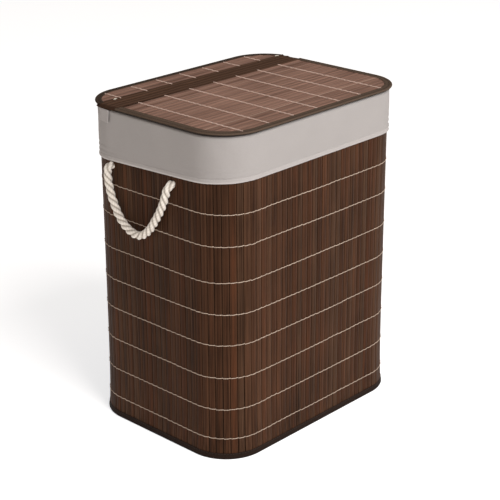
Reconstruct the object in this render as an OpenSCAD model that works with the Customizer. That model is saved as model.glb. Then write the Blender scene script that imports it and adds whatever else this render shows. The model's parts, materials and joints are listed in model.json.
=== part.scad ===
// Tall laundry hamper: a mat of upright wooden slats wrapped round a rounded rectangle,
// bound to wire hoops at the rim and the base, with a cloth liner turned down over the
// rim, a lid that folds on a cloth band, and a rope handle at each end.
// Origin at the centre of the footprint, +Z up, -Y the front, where the lid opens.

/* [Body] */
// Width over the slats, end to end
body_w = 512; // [420:1:640]
// Depth over the slats, front to back
body_d = 381; // [310:1:480]
// Height from the floor to the top of the lid
total_h = 655; // [500:1:800]
// Radius of the upright corners, over the slats
corner_r = 81; // [60:1:100]

/* [Slats] */
// Width that one slat and the gap beside it should take
slat_pitch = 13.8; // [10:0.1:20]
// Thickness of a slat
slat_t = 1.8; // [1.2:0.1:2.6]
// Gap between two slats
slat_gap = 0.9; // [0.5:0.1:1.6]
// Thickness of the cloth that the slats are glued to
backing_t = 0.8; // [0.5:0.1:1.2]

/* [Threads] */
// Diameter of the thread that is woven across the slats
thread_d = 1.6; // [0.8:0.1:2.2]
// Height of the lowest row of thread on the body
row_first = 44; // [30:1:60]
// Distance from one row of thread to the next
row_pitch = 65; // [45:1:90]

/* [Wire and binding] */
// Diameter of the steel wire in the rim, the base and the lid
wire_d = 4; // [3:0.1:4.4]
// Thickness of the binding tape
tape_t = 0.8; // [0.5:0.1:1]
// Height of the binding at the base
base_tape_h = 13; // [10:0.5:20]
// Height of the binding at the rim
rim_tape_h = 20; // [12:0.5:28]
// Width of the binding on the faces of the lid
lid_tape_w = 20; // [14:0.5:26]

/* [Base] */
// Thickness of the stiff board in the base
board_t = 3; // [2:0.5:5]

/* [Liner] */
// Thickness of the liner's cloth
liner_t = 0.8; // [0.5:0.1:1.2]
// Distance from the wall's backing to the liner
liner_gap = 3.5; // [3.4:0.1:5]
// Distance from the slats to the cuff that is turned down over them
cuff_gap = 2.2; // [2:0.1:4]
// Height of the cuff, from the rim to its lower edge
cuff_h = 94; // [60:1:140]
// Height of the hem along the cuff's lower edge
hem_h = 9; // [6:0.5:14]
// Thickness of the hem
hem_t = 1.6; // [1:0.1:2]
// Width of the cloth tab at each end of the hinge
tab_w = 32; // [16:1:36]
// Length of the tab that shows under the lid
tab_h = 24; // [16:1:40]

/* [Lid] */
// How far the lid stands past the slats at each end
lid_side = 7; // [6:0.5:12]
// How far the lid stands past the slats at the front and the back
lid_front = 10; // [6:0.5:14]
// Diameter of the rounded edge of the lid
bead_d = 7; // [6.4:0.1:9]
// Depth of the strip at the back that stays on the rim
rear_strip_d = 64; // [50:1:80]
// Width of the cloth band that the lid folds on
band_w = 47; // [40:1:60]
// Distance from one thread to the next across the lid
lid_row_pitch = 65; // [45:1:90]

/* [Handles] */
// Diameter of the rope
rope_d = 16; // [12:0.5:18]
// Distance between the two holes of one handle
hole_spacing = 166; // [130:1:190]
// How far the middle of a handle is set towards the back
hole_shift = 26; // [0:1:30]
// Distance from the cuff's lower edge down to the holes
hole_drop = 14; // [12:1:40]
// How far the rope hangs below the holes
rope_drop = 125; // [90:1:160]
// Radius of the knot inside the wall
knot_r = 16; // [14:0.5:18]
// Length of the knot
knot_len = 22; // [16:1:26]

/* [Hidden] */
$fn = 96;

// clearances
skin = 0.1;                 // between two layers that lie on each other
seat = 0.3;                 // between the lid and the rim, and at a rope's pivot
wide = 2000;                // longer than anything in the hamper

// heights and layers of the wall, as offsets outwards from the outer face of the slats
backing_out = -slat_t - skin;
backing_in = backing_out - backing_t;
hoop_r = wire_d / 2 + skin + tape_t + 0.2;
hoop_at = backing_in / 2;
tape_in = backing_in - skin - tape_t;
base_hoop_z = hoop_r - 0.2;
mat_bottom = base_hoop_z + wire_d / 2 + tape_t + 0.6;
liner_out = backing_in - liner_gap;
liner_in = liner_out - liner_t;
cuff_out = cuff_gap + liner_t;
fold_r = (cuff_out - liner_in) / 2;
fold_at = (cuff_out + liner_in) / 2;
lid_bottom = total_h - bead_d;
rim_top = lid_bottom - seat;
fold_z = rim_top - fold_r;
rim_hoop_z = fold_z + (fold_r - liner_t - hoop_r - seat) / 2;
mat_top = rim_hoop_z - wire_d / 2 - tape_t - 0.2;
cuff_bottom = rim_top - cuff_h;

// base
base_cloth_z = base_hoop_z;
board_z = base_cloth_z + backing_t + skin;
floor_z = board_z + board_t + seat;

// lid layers
lid_w = body_w + 2 * lid_side;
lid_d = body_d + 2 * lid_front;
lid_r = corner_r + lid_side;
bead_z = lid_bottom + bead_d / 2;
lid_slats_z = total_h - thread_d - skin - slat_t;
lid_backing_z = lid_slats_z - skin - backing_t;
panel_inset = bead_d + 0.2;
strip_y = lid_d / 2 - rear_strip_d;
band_y = strip_y - band_w;
hinge_y = strip_y - 17;
hinge_z = bead_z + 1.5;
roll_d = 2 * (total_h - 0.1 - hinge_z);

// rope holes and pivots
rope_r = rope_d / 2;
hole_r = rope_r + 0.2;
hole_z = cuff_bottom - hole_drop;
hole_ys = [hole_shift + hole_spacing / 2, hole_shift - hole_spacing / 2];
pivot_out = rope_r + 3.5;
pocket_gap = 1;
// beside a corner the wall has begun to turn, so a knot there sits further in
function wall_turn(y) = max(0, abs(y) + knot_r - (body_d / 2 - corner_r));
function turned_in(y) = let (r = corner_r + backing_in, t = min(wall_turn(y), 0.9 * r))
    r - sqrt(r * r - t * t);
function knot_at(y) = backing_in - 2 * skin - turned_in(y);
// the rope's line from the back hole to the front one: [share of spacing, share of drop]
loop_line = [
    [0, 0], [0, 0.1], [0, 0.21], [0.02, 0.34], [0.05, 0.47], [0.1, 0.6], [0.155, 0.72],
    [0.225, 0.83], [0.3, 0.925], [0.385, 0.985], [0.47, 1], [0.555, 0.95], [0.635, 0.85],
    [0.71, 0.74], [0.78, 0.62], [0.84, 0.5], [0.89, 0.375], [0.93, 0.25], [0.965, 0.12],
    [1, 0]
];

// rows of thread: evenly spaced, less what the weaver's hand let them wander
row_wander = [0, -3, -2, 0.5, -2, -2.5, 3, 1, 0];
row_top = rim_hoop_z - rim_tape_h - thread_d - 3;
row_count = floor((row_top - row_first) / row_pitch) + 1;
row_zs = [for (i = [0 : row_count - 1])
    row_first + i * row_pitch + row_wander[i % len(row_wander)]];
lid_row_half = floor((lid_w / 2 - panel_inset - lid_tape_w) / lid_row_pitch);
lid_row_xs = [for (i = [-lid_row_half : lid_row_half]) i * lid_row_pitch];

// colours
wood = [0.27, 0.17, 0.13];
lid_wood = [0.47, 0.36, 0.31];
tape_brown = [0.25, 0.18, 0.14];
grey_cloth = [0.72, 0.69, 0.66];
pale_hem = [0.78, 0.75, 0.71];
cream = [0.86, 0.81, 0.73];
thread_tan = [0.70, 0.58, 0.48];
steel = [0.55, 0.55, 0.56];
board_brown = [0.45, 0.36, 0.27];

// ---------- shapes that repeat ----------

// outline of a rounded rectangle, grown outwards by grow
module rounded_outline(w, d, r, grow) {
    square([w - 2 * r, d + 2 * grow], center = true);
    square([w + 2 * grow, d - 2 * r], center = true);
    for (x = [-1, 1], y = [-1, 1])
        translate([x * (w / 2 - r), y * (d / 2 - r)]) circle(r + grow);
}

// a flat plate with that outline
module plate(w, d, r, grow, z, t) {
    translate([0, 0, z]) linear_extrude(t) rounded_outline(w, d, r, grow);
}

// an upright wall between two offsets from that outline
module wall(w, d, r, outer, inner, z, h) {
    translate([0, 0, z]) linear_extrude(h) difference() {
        rounded_outline(w, d, r, outer);
        rounded_outline(w, d, r, inner);
    }
}

// a flat section, drawn with x outwards and y up, carried round that outline
module hoop(w, d, r) {
    for (side = [-1, 1]) {
        rotate(side > 0 ? 0 : 180) translate([w / 2, 0])
            rotate([90, 0, 0]) linear_extrude(d - 2 * r, center = true) children();
        rotate(side * 90) translate([d / 2, 0])
            rotate([90, 0, 0]) linear_extrude(w - 2 * r, center = true) children();
        for (end = [-1, 1])
            translate([side * (w / 2 - r), end * (d / 2 - r)])
                rotate(side > 0 ? (end > 0 ? 0 : 270) : (end > 0 ? 90 : 180))
                    rotate_extrude(angle = 90) translate([r, 0]) children();
    }
}

module body_hoop() {
    hoop(body_w, body_d, corner_r) children();
}

module lid_hoop() {
    hoop(lid_w, lid_d, lid_r) children();
}

module body_wall(outer, inner, z, h) {
    wall(body_w, body_d, corner_r, outer, inner, z, h);
}

// everything in front of a line across the lid, or behind it
module in_front_of(y) {
    translate([-wide / 2, y - wide, 0]) cube([wide, wide, wide]);
}

module behind(y) {
    translate([-wide / 2, y, 0]) cube([wide, wide, wide]);
}

// upright slats along a straight face of the wall, facing +X
module face_slats(length) {
    count = round(length / slat_pitch);
    step = length / count;
    for (i = [0 : count - 1])
        translate([-slat_t, -length / 2 + (i + 0.5) * step - (step - slat_gap) / 2, mat_bottom])
            cube([slat_t, step - slat_gap, mat_top - mat_bottom]);
}

// upright slats round a quarter turn, from +X to +Y about the corner's own axis; their
// outer edges lie on the turn, so that the tape and the threads go round them
module corner_slats() {
    arc = corner_r * PI / 2;
    count = round(arc / slat_pitch);
    turn = 90 / count;
    inner = corner_r - slat_t;
    width = 2 * inner * tan(turn / 2) - slat_gap;
    outer = sqrt(corner_r * corner_r - width * width / 4);
    for (i = [0 : count - 1])
        rotate((i + 0.5) * turn) translate([inner, -width / 2, mat_bottom])
            cube([outer - inner, width, mat_top - mat_bottom]);
}

// places its children on a corner's axis: end is -1 or 1, side is -1 (front) or 1 (back)
module at_corner(end, side) {
    translate([end * (body_w / 2 - corner_r), side * (body_d / 2 - corner_r)])
        rotate(end > 0 ? (side > 0 ? 0 : 270) : (side > 0 ? 90 : 180)) children();
}

// the two drilled holes of one handle, through the whole wall
module rope_holes(end) {
    for (y = hole_ys)
        translate([end * body_w / 2, y, hole_z])
            rotate([0, 90, 0]) cylinder(r = hole_r, h = 60, center = true);
}

// ---------- wall ----------

module front_slats() {
    color(wood) rotate(270) translate([body_d / 2, 0]) face_slats(body_w - 2 * corner_r);
}

module back_slats() {
    color(wood) rotate(90) translate([body_d / 2, 0]) face_slats(body_w - 2 * corner_r);
}

module end_slats(end) {
    color(wood) difference() {
        rotate(end > 0 ? 0 : 180) translate([body_w / 2, 0]) face_slats(body_d - 2 * corner_r);
        rope_holes(end);
    }
}

module quarter_slats(end, side) {
    color(wood) difference() {
        at_corner(end, side) corner_slats();
        rope_holes(end);
    }
}

module wall_backing() {
    color(tape_brown) difference() {
        body_wall(backing_out, backing_in, mat_bottom, mat_top - mat_bottom);
        rope_holes(-1);
        rope_holes(1);
    }
}

module wall_threads() {
    color(thread_tan) difference() {
        for (z = row_zs)
            body_hoop() translate([thread_d / 2 + skin, z]) circle(d = thread_d);
        rope_holes(-1);
        rope_holes(1);
    }
}

// ---------- rim and base ----------

module rim_wire() {
    color(steel) body_hoop() translate([hoop_at, rim_hoop_z]) circle(d = wire_d);
}

// the tape's section: two legs, a rounded edge, and room for the wire and the mat
module tape_section(hoop_z, tip_z, mat_end) {
    low = min(hoop_z, tip_z);
    difference() {
        union() {
            translate([tape_in, low]) square([skin + tape_t - tape_in, abs(tip_z - hoop_z)]);
            translate([hoop_at, hoop_z]) circle(hoop_r);
        }
        translate([hoop_at, hoop_z]) circle(wire_d / 2 + skin);
        translate([backing_in - skin, min(mat_end, tip_z) - skin])
            square([2 * skin - backing_in, abs(tip_z - mat_end) + 2 * skin]);
    }
}

module rim_binding() {
    color(tape_brown) body_hoop()
        tape_section(rim_hoop_z, rim_hoop_z - rim_tape_h, mat_top);
}

module base_wire() {
    color(steel) body_hoop() translate([hoop_at, base_hoop_z]) circle(d = wire_d);
}

// its rounded edge is pressed flat where it stands on the floor
module base_binding() {
    color(tape_brown) body_hoop() intersection() {
        tape_section(base_hoop_z, base_tape_h, mat_bottom);
        translate([-wide / 2, 0]) square(wide);
    }
}

module base_cloth() {
    color(tape_brown)
        plate(body_w, body_d, corner_r, hoop_at - hoop_r - skin, base_cloth_z, backing_t);
}

module base_board() {
    color(board_brown)
        plate(body_w, body_d, corner_r, hoop_at - hoop_r - 1.5, board_z, board_t);
}

// ---------- liner ----------

// a round plug over each knot, from just inside the wall to as far past the knot as it is told
module knot_plugs(radius, past) {
    start = backing_in - skin;
    for (end = [-1, 1], y = hole_ys)
        translate([end * (body_w / 2 + start), y, hole_z]) rotate([0, -end * 90, 0])
            cylinder(r = radius, h = start - knot_at(y) + knot_len + past);
}

// one cloth from the floor up, over the rim and down outside as the cuff
module liner_section() {
    translate([liner_in, floor_z]) square([liner_t, fold_z - floor_z]);
    translate([cuff_out - liner_t, cuff_bottom + hem_h])
        square([liner_t, fold_z - cuff_bottom - hem_h]);
    difference() {
        translate([fold_at, fold_z]) circle(fold_r);
        translate([fold_at, fold_z]) circle(fold_r - liner_t);
        translate([fold_at - wide / 2, fold_z - wide]) square(wide);
    }
}

// the knots push pockets into the cloth
module liner_bag() {
    color(grey_cloth) difference() {
        union() {
            body_hoop() liner_section();
            intersection() {
                knot_plugs(knot_r + pocket_gap + liner_t, pocket_gap + liner_t);
                plate(body_w, body_d, corner_r, liner_out - skin, floor_z, fold_z - floor_z);
            }
        }
        knot_plugs(knot_r + pocket_gap, pocket_gap);
    }
}

module liner_floor() {
    color(grey_cloth)
        plate(body_w, body_d, corner_r, liner_in - skin, floor_z, liner_t);
}

module cuff_hem() {
    color(pale_hem)
        body_wall(cuff_gap - 0.2 + hem_t, cuff_gap - 0.2, cuff_bottom, hem_h - skin);
}

// a short cloth tab under each end of the hinge, laid over the cuff
module lid_tab(end) {
    outer = cuff_out + 0.4 + liner_t;
    color(grey_cloth) intersection() {
        body_wall(outer, outer - liner_t, lid_bottom - skin - tab_h, tab_h);
        translate([end > 0 ? 0 : -wide, hinge_y + 19 - tab_w, 0]) cube([wide, tab_w, wide]);
    }
}

// ---------- rope through the wall ----------

// from the knot to just outside the slats
module rope_ends(end) {
    color(cream) for (y = hole_ys)
        translate([end * (body_w / 2 + knot_at(y)), y, hole_z]) rotate([0, end * 90, 0])
            cylinder(r = rope_r, h = pivot_out - rope_r - seat - knot_at(y));
}

module rope_knots(end) {
    bead = knot_len / 4;
    color(cream) for (y = hole_ys)
        translate([end * (body_w / 2 + knot_at(y)), y, hole_z]) rotate([0, -end * 90, 0])
            rotate_extrude() {
                square([knot_r - bead, knot_len]);
                for (z = [bead, knot_len - bead])
                    translate([knot_r - bead, z]) circle(bead);
            }
}

// ---------- lid ----------

module lid_slats() {
    inner_w = lid_w - 2 * panel_inset;
    length = band_y + lid_d / 2 - panel_inset;
    count = round(length / slat_pitch);
    step = length / count;
    rear_length = rear_strip_d - panel_inset;
    rear_count = round(rear_length / slat_pitch);
    rear_step = rear_length / rear_count;
    intersection() {
        plate(lid_w, lid_d, lid_r, -panel_inset, lid_slats_z, slat_t);
        translate([-inner_w / 2, 0, 0]) {
            for (i = [0 : count - 1])
                translate([0, band_y - (i + 1) * step, 0]) cube([inner_w, step - slat_gap, wide]);
            for (i = [0 : rear_count - 1])
                translate([0, strip_y + i * rear_step + slat_gap, 0])
                    cube([inner_w, rear_step - slat_gap, wide]);
        }
    }
}

module lid_backing() {
    plate(lid_w, lid_d, lid_r, -panel_inset, lid_backing_z, backing_t);
}

module lid_wire() {
    lid_hoop() translate([-bead_d / 2, bead_z]) circle(d = wire_d);
}

// a rounded edge round the wire, and a leg on each face of the panel
module lid_binding() {
    top = lid_slats_z + slat_t + skin;
    bottom = lid_backing_z - skin;
    leg = lid_tape_w - bead_d / 2;
    lid_hoop() difference() {
        union() {
            translate([-bead_d / 2, bead_z]) circle(d = bead_d);
            translate([-lid_tape_w, bottom - tape_t]) square([leg, top - bottom + 2 * tape_t]);
        }
        translate([-bead_d / 2, bead_z]) circle(d = wire_d + 2 * skin);
        translate([-wide - panel_inset + skin, bottom]) square([wide, top - bottom]);
    }
}

module lid_threads() {
    z = lid_slats_z + slat_t + skin;
    intersection() {
        plate(lid_w, lid_d, lid_r, -lid_tape_w - 1, z - skin, wide);
        for (x = lid_row_xs)
            translate([x, 0, z + thread_d / 2]) rotate([90, 0, 0])
                cylinder(d = thread_d, h = lid_d, center = true);
    }
}

module rear_strip_slats() {
    color(lid_wood) intersection() { lid_slats(); behind(strip_y); }
}

module rear_strip_backing() {
    color(tape_brown) intersection() { lid_backing(); behind(strip_y); }
}

module rear_strip_wire() {
    color(steel) intersection() { lid_wire(); behind(strip_y + 1); }
}

module rear_strip_binding() {
    color(tape_brown) intersection() { lid_binding(); behind(strip_y); }
}

module rear_strip_threads() {
    color(thread_tan) intersection() { lid_threads(); behind(strip_y + slat_gap); }
}

// the cloth between the strip and the flap, with the roll that it folds on
module hinge_band() {
    color(tape_brown) {
        intersection() {
            plate(lid_w, lid_d, lid_r, -1, hinge_z - tape_t, 2 * tape_t);
            translate([-wide / 2, band_y + seat, 0]) cube([wide, band_w - seat - skin, wide]);
        }
        translate([0, hinge_y, hinge_z]) rotate([0, 90, 0])
            cylinder(d = roll_d, h = lid_w - 2 * panel_inset, center = true);
    }
}

module band_tacks() {
    color(cream) for (end = [-1, 1])
        translate([end * (lid_w / 2 - 40), strip_y + 3.5, lid_slats_z + slat_t + skin])
            rotate(20 * end) translate([-5, -1.5, 0]) cube([10, 3, 0.8]);
}

module flap_slats() {
    color(lid_wood) intersection() { lid_slats(); in_front_of(band_y); }
}

module flap_backing() {
    color(tape_brown) intersection() { lid_backing(); in_front_of(band_y); }
}

module flap_wire() {
    color(steel) intersection() { lid_wire(); in_front_of(band_y - 1); }
}

module flap_binding() {
    color(tape_brown) intersection() { lid_binding(); in_front_of(band_y); }
}

module flap_threads() {
    color(thread_tan) intersection() { lid_threads(); in_front_of(band_y - slat_gap); }
}

// ---------- handles ----------

// a point of the rope's line, in the YZ plane
function loop_point(i) = [
    hole_ys[0] - loop_line[i][0] * hole_spacing,
    hole_z - loop_line[i][1] * rope_drop
];
function loop_last() = len(loop_line) - 1;
function unit(v) = v / norm(v);
function loop_way(i) = unit(
    loop_point(min(i + 1, loop_last())) - loop_point(max(i - 1, 0)));

// rings of the tube: [centre, direction, radius], with a round end on each pivot
cap_steps = [80, 55, 28];
loop_rings = concat(
    [for (a = cap_steps) [loop_point(0) - loop_way(0) * rope_r * sin(a), loop_way(0),
        rope_r * cos(a)]],
    [for (i = [0 : loop_last()]) [loop_point(i), loop_way(i), rope_r]],
    [for (k = [2 : -1 : 0]) [loop_point(loop_last()) + loop_way(loop_last()) * rope_r
        * sin(cap_steps[k]), loop_way(loop_last()), rope_r * cos(cap_steps[k])]]
);
sides = 12;

module handle_rope(end) {
    x = end * (body_w / 2 + pivot_out);
    count = len(loop_rings);
    points = [for (ring = loop_rings, s = [0 : sides - 1])
        let (a = s * 360 / sides, across = [-ring[1][1], ring[1][0]])
        [x + ring[2] * cos(a), ring[0][0] + ring[2] * sin(a) * across[0],
            ring[0][1] + ring[2] * sin(a) * across[1]]];
    faces = concat(
        [[for (s = [0 : sides - 1]) s]],
        [for (i = [0 : count - 2], s = [0 : sides - 1])
            let (a = i * sides, b = a + sides, n = (s + 1) % sides)
            [a + s, b + s, b + n, a + n]],
        [[for (s = [sides - 1 : -1 : 0]) (count - 1) * sides + s]]
    );
    color(cream) polyhedron(points, faces);
}

front_slats();
back_slats();
end_slats(-1);  // left_slats
end_slats(1);  // right_slats
quarter_slats(-1, -1);  // front_left_corner_slats
quarter_slats(1, -1);  // front_right_corner_slats
quarter_slats(-1, 1);  // back_left_corner_slats
quarter_slats(1, 1);  // back_right_corner_slats
wall_backing();
wall_threads();
rim_wire();
rim_binding();
base_wire();
base_binding();
base_cloth();
base_board();
liner_bag();
liner_floor();
cuff_hem();
lid_tab(-1);  // left_lid_tab
lid_tab(1);  // right_lid_tab
rope_ends(-1);  // left_rope_ends
rope_ends(1);  // right_rope_ends
rope_knots(-1);  // left_rope_knots
rope_knots(1);  // right_rope_knots
rear_strip_slats();
rear_strip_backing();
rear_strip_wire();
rear_strip_binding();
rear_strip_threads();
hinge_band();
band_tacks();
flap_slats();
flap_backing();
flap_wire();
flap_binding();
flap_threads();
handle_rope(-1);  // left_handle_rope
handle_rope(1);  // right_handle_rope
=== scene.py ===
"""A laundry hamper of bamboo slats with a cloth liner, two rope handles and a hinged lid."""

import json
import math
import random

import bmesh
import bpy
from mathutils import Matrix, Vector, noise
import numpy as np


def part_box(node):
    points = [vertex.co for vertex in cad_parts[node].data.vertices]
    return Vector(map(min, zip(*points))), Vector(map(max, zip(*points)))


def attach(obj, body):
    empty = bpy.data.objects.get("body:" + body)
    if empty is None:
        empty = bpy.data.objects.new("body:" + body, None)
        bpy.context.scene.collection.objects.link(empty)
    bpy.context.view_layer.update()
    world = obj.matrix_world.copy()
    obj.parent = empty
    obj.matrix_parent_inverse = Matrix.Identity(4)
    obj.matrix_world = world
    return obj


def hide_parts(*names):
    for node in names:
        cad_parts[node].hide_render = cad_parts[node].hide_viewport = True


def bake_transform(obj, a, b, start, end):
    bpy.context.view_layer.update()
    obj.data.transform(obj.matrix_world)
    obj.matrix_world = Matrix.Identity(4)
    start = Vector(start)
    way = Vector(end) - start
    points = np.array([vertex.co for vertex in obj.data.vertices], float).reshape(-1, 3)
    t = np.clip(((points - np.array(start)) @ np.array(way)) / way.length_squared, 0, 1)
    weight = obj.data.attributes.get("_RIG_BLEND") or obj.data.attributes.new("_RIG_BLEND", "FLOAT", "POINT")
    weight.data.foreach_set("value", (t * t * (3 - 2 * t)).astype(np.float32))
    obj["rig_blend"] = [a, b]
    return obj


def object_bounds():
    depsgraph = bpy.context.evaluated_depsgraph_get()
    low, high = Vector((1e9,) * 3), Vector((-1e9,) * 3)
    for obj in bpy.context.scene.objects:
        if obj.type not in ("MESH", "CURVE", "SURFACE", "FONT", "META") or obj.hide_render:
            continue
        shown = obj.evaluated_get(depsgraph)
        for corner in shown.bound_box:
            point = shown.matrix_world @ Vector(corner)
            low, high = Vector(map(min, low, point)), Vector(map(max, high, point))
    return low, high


bl_info = {
    "name": "Slatted laundry hamper",
    "version": (1, 0, 0),
    "blender": (4, 5, 0),
    "location": "View3D > Sidebar > Hamper",
    "description": "Builds a slatted hamper with its liner, ropes and lid round its frame",
    "category": "Add Mesh",
}

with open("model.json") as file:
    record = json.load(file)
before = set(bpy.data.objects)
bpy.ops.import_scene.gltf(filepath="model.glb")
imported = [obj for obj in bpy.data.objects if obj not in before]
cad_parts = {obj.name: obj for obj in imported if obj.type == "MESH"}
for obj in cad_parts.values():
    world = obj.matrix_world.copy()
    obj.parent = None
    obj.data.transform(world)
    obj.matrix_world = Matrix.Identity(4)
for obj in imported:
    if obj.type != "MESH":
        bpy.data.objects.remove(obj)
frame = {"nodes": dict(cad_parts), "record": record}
CAD_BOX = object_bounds()

MM = 0.001
TAU = 2 * math.pi


def span(*nodes):
    """The box round several CAD nodes at rest."""
    boxes = [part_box(node) for node in nodes]
    low = Vector(min(b[0][k] for b in boxes) for k in range(3))
    high = Vector(max(b[1][k] for b in boxes) for k in range(3))
    return low, high


# ---------- sizes and colours that a user would change ----------


def length(name, text, value, low, high):
    """A length in metres that the panel shows."""
    return bpy.props.FloatProperty(
        name=name, description=text, default=value, min=low, max=high,
        subtype="DISTANCE", unit="LENGTH", precision=4,
    )


def shade(name, text, value):
    """A colour that the panel shows."""
    return bpy.props.FloatVectorProperty(
        name=name, description=text, default=value, size=3, min=0.0, max=1.0, subtype="COLOR"
    )


class HamperSizes(bpy.types.PropertyGroup):
    slat_pitch: length("Slat pitch", "From one slat to the next", 0.0138, 0.008, 0.03)
    slat_gap: length("Slat gap", "Gap between two slats", 0.0011, 0.0004, 0.003)
    slat_crown: length("Slat crown", "How far a slat's middle stands proud", 0.00035, 0, 0.001)
    flare: length("Flare", "How far the wall spreads at the floor", 0.0042, 0, 0.01)
    bulge: length("Bulge", "How far the long walls belly out", 0.0022, 0, 0.006)
    thread: length("Thread", "Thickness of the woven thread", 0.00145, 0.0006, 0.003)
    cuff_slope: bpy.props.FloatProperty(
        name="Cuff slope", description="How much the cuff's edge rises towards the front",
        default=0.0406, min=0.0, max=0.1,
    )
    rope_lay: length("Rope lay", "Length of one turn of a strand", 0.045, 0.02, 0.08)
    cloth_slack: length("Cloth slack", "Depth of the cloth's soft folds", 0.0009, 0, 0.004)
    stitch_pitch: length("Stitch pitch", "From one stitch to the next", 0.0056, 0.003, 0.012)


class HamperColours(bpy.types.PropertyGroup):
    wood_dark: shade("Dark wood", "Stained slats, darkest streaks", (0.0150, 0.0056, 0.0023))
    wood_red: shade("Red wood", "Stained slats, warmer ones", (0.079, 0.0260, 0.0105))
    wood_grey: shade("Grey wood", "Stained slats, duller ones", (0.078, 0.0390, 0.0215))
    # the lid's slats are coloured far paler than the wall's: partly painted light, standing for the light
    # and sheen that the lid's top catches
    lid_dark_toplit: shade("Dark lid wood", "Slats of the lid, darkest streaks", (0.090, 0.045, 0.031))
    lid_pale_toplit: shade("Pale lid wood", "Slats of the lid, palest streaks", (0.300, 0.172, 0.126))
    tape: shade("Binding", "Cloth binding on the lid and base", (0.128, 0.086, 0.060))
    base_tape: shade("Base binding", "Cloth binding round the foot", (0.0230, 0.0125, 0.0085))
    cloth: shade("Liner cloth", "The liner and its cuff", (0.378, 0.346, 0.328))
    hem: shade("Hem", "The cuff's hem", (0.415, 0.378, 0.360))
    rope: shade("Rope", "The cotton rope", (0.880, 0.795, 0.700))
    thread: shade("Thread", "The thread across the wall's slats", (0.640, 0.490, 0.380))
    lid_thread: shade("Lid thread", "The thread across the lid's slats", (0.950, 0.700, 0.590))
    band: shade("Hinge band", "The cloth band that the lid folds on", (0.082, 0.042, 0.025))
    board: shade("Board", "The stiff board in the base", (0.190, 0.130, 0.085))
    floor: shade("Floor", "The floor under the hamper", (0.930, 0.880, 0.830))


def sizes():
    return bpy.context.scene.hamper_sizes


def colours():
    return bpy.context.scene.hamper_colours


# ---------- outlines ----------


class Outline:
    """A rounded rectangle round the middle, walked anticlockwise by length from the
    front of its right-hand end. Its sides are 0 right, 1 back, 2 left and 3 front, and
    its turns are the halves between."""

    SIDES = (0, 0.5, 1, 1.5, 2, 2.5, 3, 3.5)

    def __init__(self, width, depth, radius):
        self.width, self.depth, self.radius = width, depth, radius
        self.across, self.along = width - 2 * radius, depth - 2 * radius
        self.turn = radius * math.pi / 2
        self.length = 2 * (self.across + self.along) + 4 * self.turn

    def at(self, way):
        """The point at that length, the outward direction there, and the side it is on."""
        way %= self.length
        x, y = self.across / 2, self.along / 2
        corners = [(x, y), (-x, y), (-x, -y), (x, -y)]
        starts = [(x, -y), (x, y), (-x, y), (-x, -y)]
        for k in range(4):
            straight = (self.along, self.across)[k % 2]
            out = Vector((math.cos(k * math.pi / 2), math.sin(k * math.pi / 2)))
            if way <= straight:
                forward = Vector((-out.y, out.x))
                point = Vector(starts[k]) + out * self.radius + forward * way
                return point, out, k
            way -= straight
            if way <= self.turn:
                angle = k * math.pi / 2 + way / self.radius
                out = Vector((math.cos(angle), math.sin(angle)))
                return Vector(corners[k]) + out * self.radius, out, k + 0.5
            way -= self.turn
        return self.at(0.0)

    def run_of(self, side):
        """How long the side or turn is."""
        return self.turn if side % 1 else (self.along, self.across)[int(side) % 2]

    def start_of(self, side):
        """How far round the side or turn begins."""
        return sum((self.run_of(k) for k in self.SIDES if k < side), 0.0)

    def half_width(self, y, inset):
        """Half the width of the outline, drawn in by inset, at that depth."""
        over = abs(y) - self.along / 2
        radius = self.radius - inset
        if over <= 0:
            return self.width / 2 - inset
        return self.across / 2 + math.sqrt(max(radius * radius - over * over, 0.0))


WALL = span(
    "front_slats", "back_slats", "left_slats", "right_slats",
    "front_left_corner_slats", "back_right_corner_slats",
)
# the gap between the CAD model's slats
SLAT_GAP = 0.9 * MM
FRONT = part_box("front_slats")
WALL_RADIUS = (WALL[1].x - WALL[0].x) / 2 - (FRONT[1].x - FRONT[0].x + SLAT_GAP) / 2
BODY = Outline(WALL[1].x - WALL[0].x, WALL[1].y - WALL[0].y, WALL_RADIUS)
LID_BOX = span("flap_binding", "rear_strip_binding")
LID_OVERHANG = (LID_BOX[1].x - LID_BOX[0].x - BODY.width) / 2
LID = Outline(
    LID_BOX[1].x - LID_BOX[0].x, LID_BOX[1].y - LID_BOX[0].y, BODY.radius + LID_OVERHANG
)
BAND_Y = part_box("flap_binding")[1].y
STRIP_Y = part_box("rear_strip_binding")[0].y
CUFF_EDGE_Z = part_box("cuff_hem")[0].z


def rows_of(node, axis, gap):
    """The middles of the separate bands that a node's points make along an axis."""
    values = sorted(v.co[axis] for v in frame["nodes"][node].data.vertices)
    groups = [[values[0]]]
    for value in values[1:]:
        if value - groups[-1][-1] > gap:
            groups.append([])
        groups[-1].append(value)
    return [(g[0] + g[-1]) / 2 for g in groups]


def ease(x):
    """A smooth step from 0 to 1."""
    x = min(max(x, 0.0), 1.0)
    return x * x * (3 - 2 * x)


def mix(a, b, t):
    return a + (b - a) * t


def noisy(x, y=0.0, z=0.0):
    return noise.noise(Vector((x, y, z)))


# how high the wall's flare reaches, and up to where its long sides belly out
FLARE_HEIGHT = 0.06
BULGE_HEIGHT = 0.62


def wall_shift(point, side, z):
    """How far the wall stands out from its straight shape there."""
    shift = sizes().flare * math.exp(-max(z, 0.0) / FLARE_HEIGHT)
    belly = math.sin(math.pi * min(z / BULGE_HEIGHT, 1.0))
    if side in (1, 3):
        share = 1 - (2 * point.x / BODY.across) ** 2
        shift += sizes().bulge * max(share, 0.0) * belly
    elif side in (0, 2):
        share = 1 - (2 * point.y / BODY.along) ** 2
        shift += 0.3 * sizes().bulge * max(share, 0.0) * belly
    return shift


def on_wall(way, offset, z):
    """A point that far out from the slats' faces, on the wall as it really stands."""
    point, out, side = BODY.at(way)
    place = point + out * (offset + wall_shift(point, side, z))
    return Vector((place.x, place.y, z))


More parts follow.
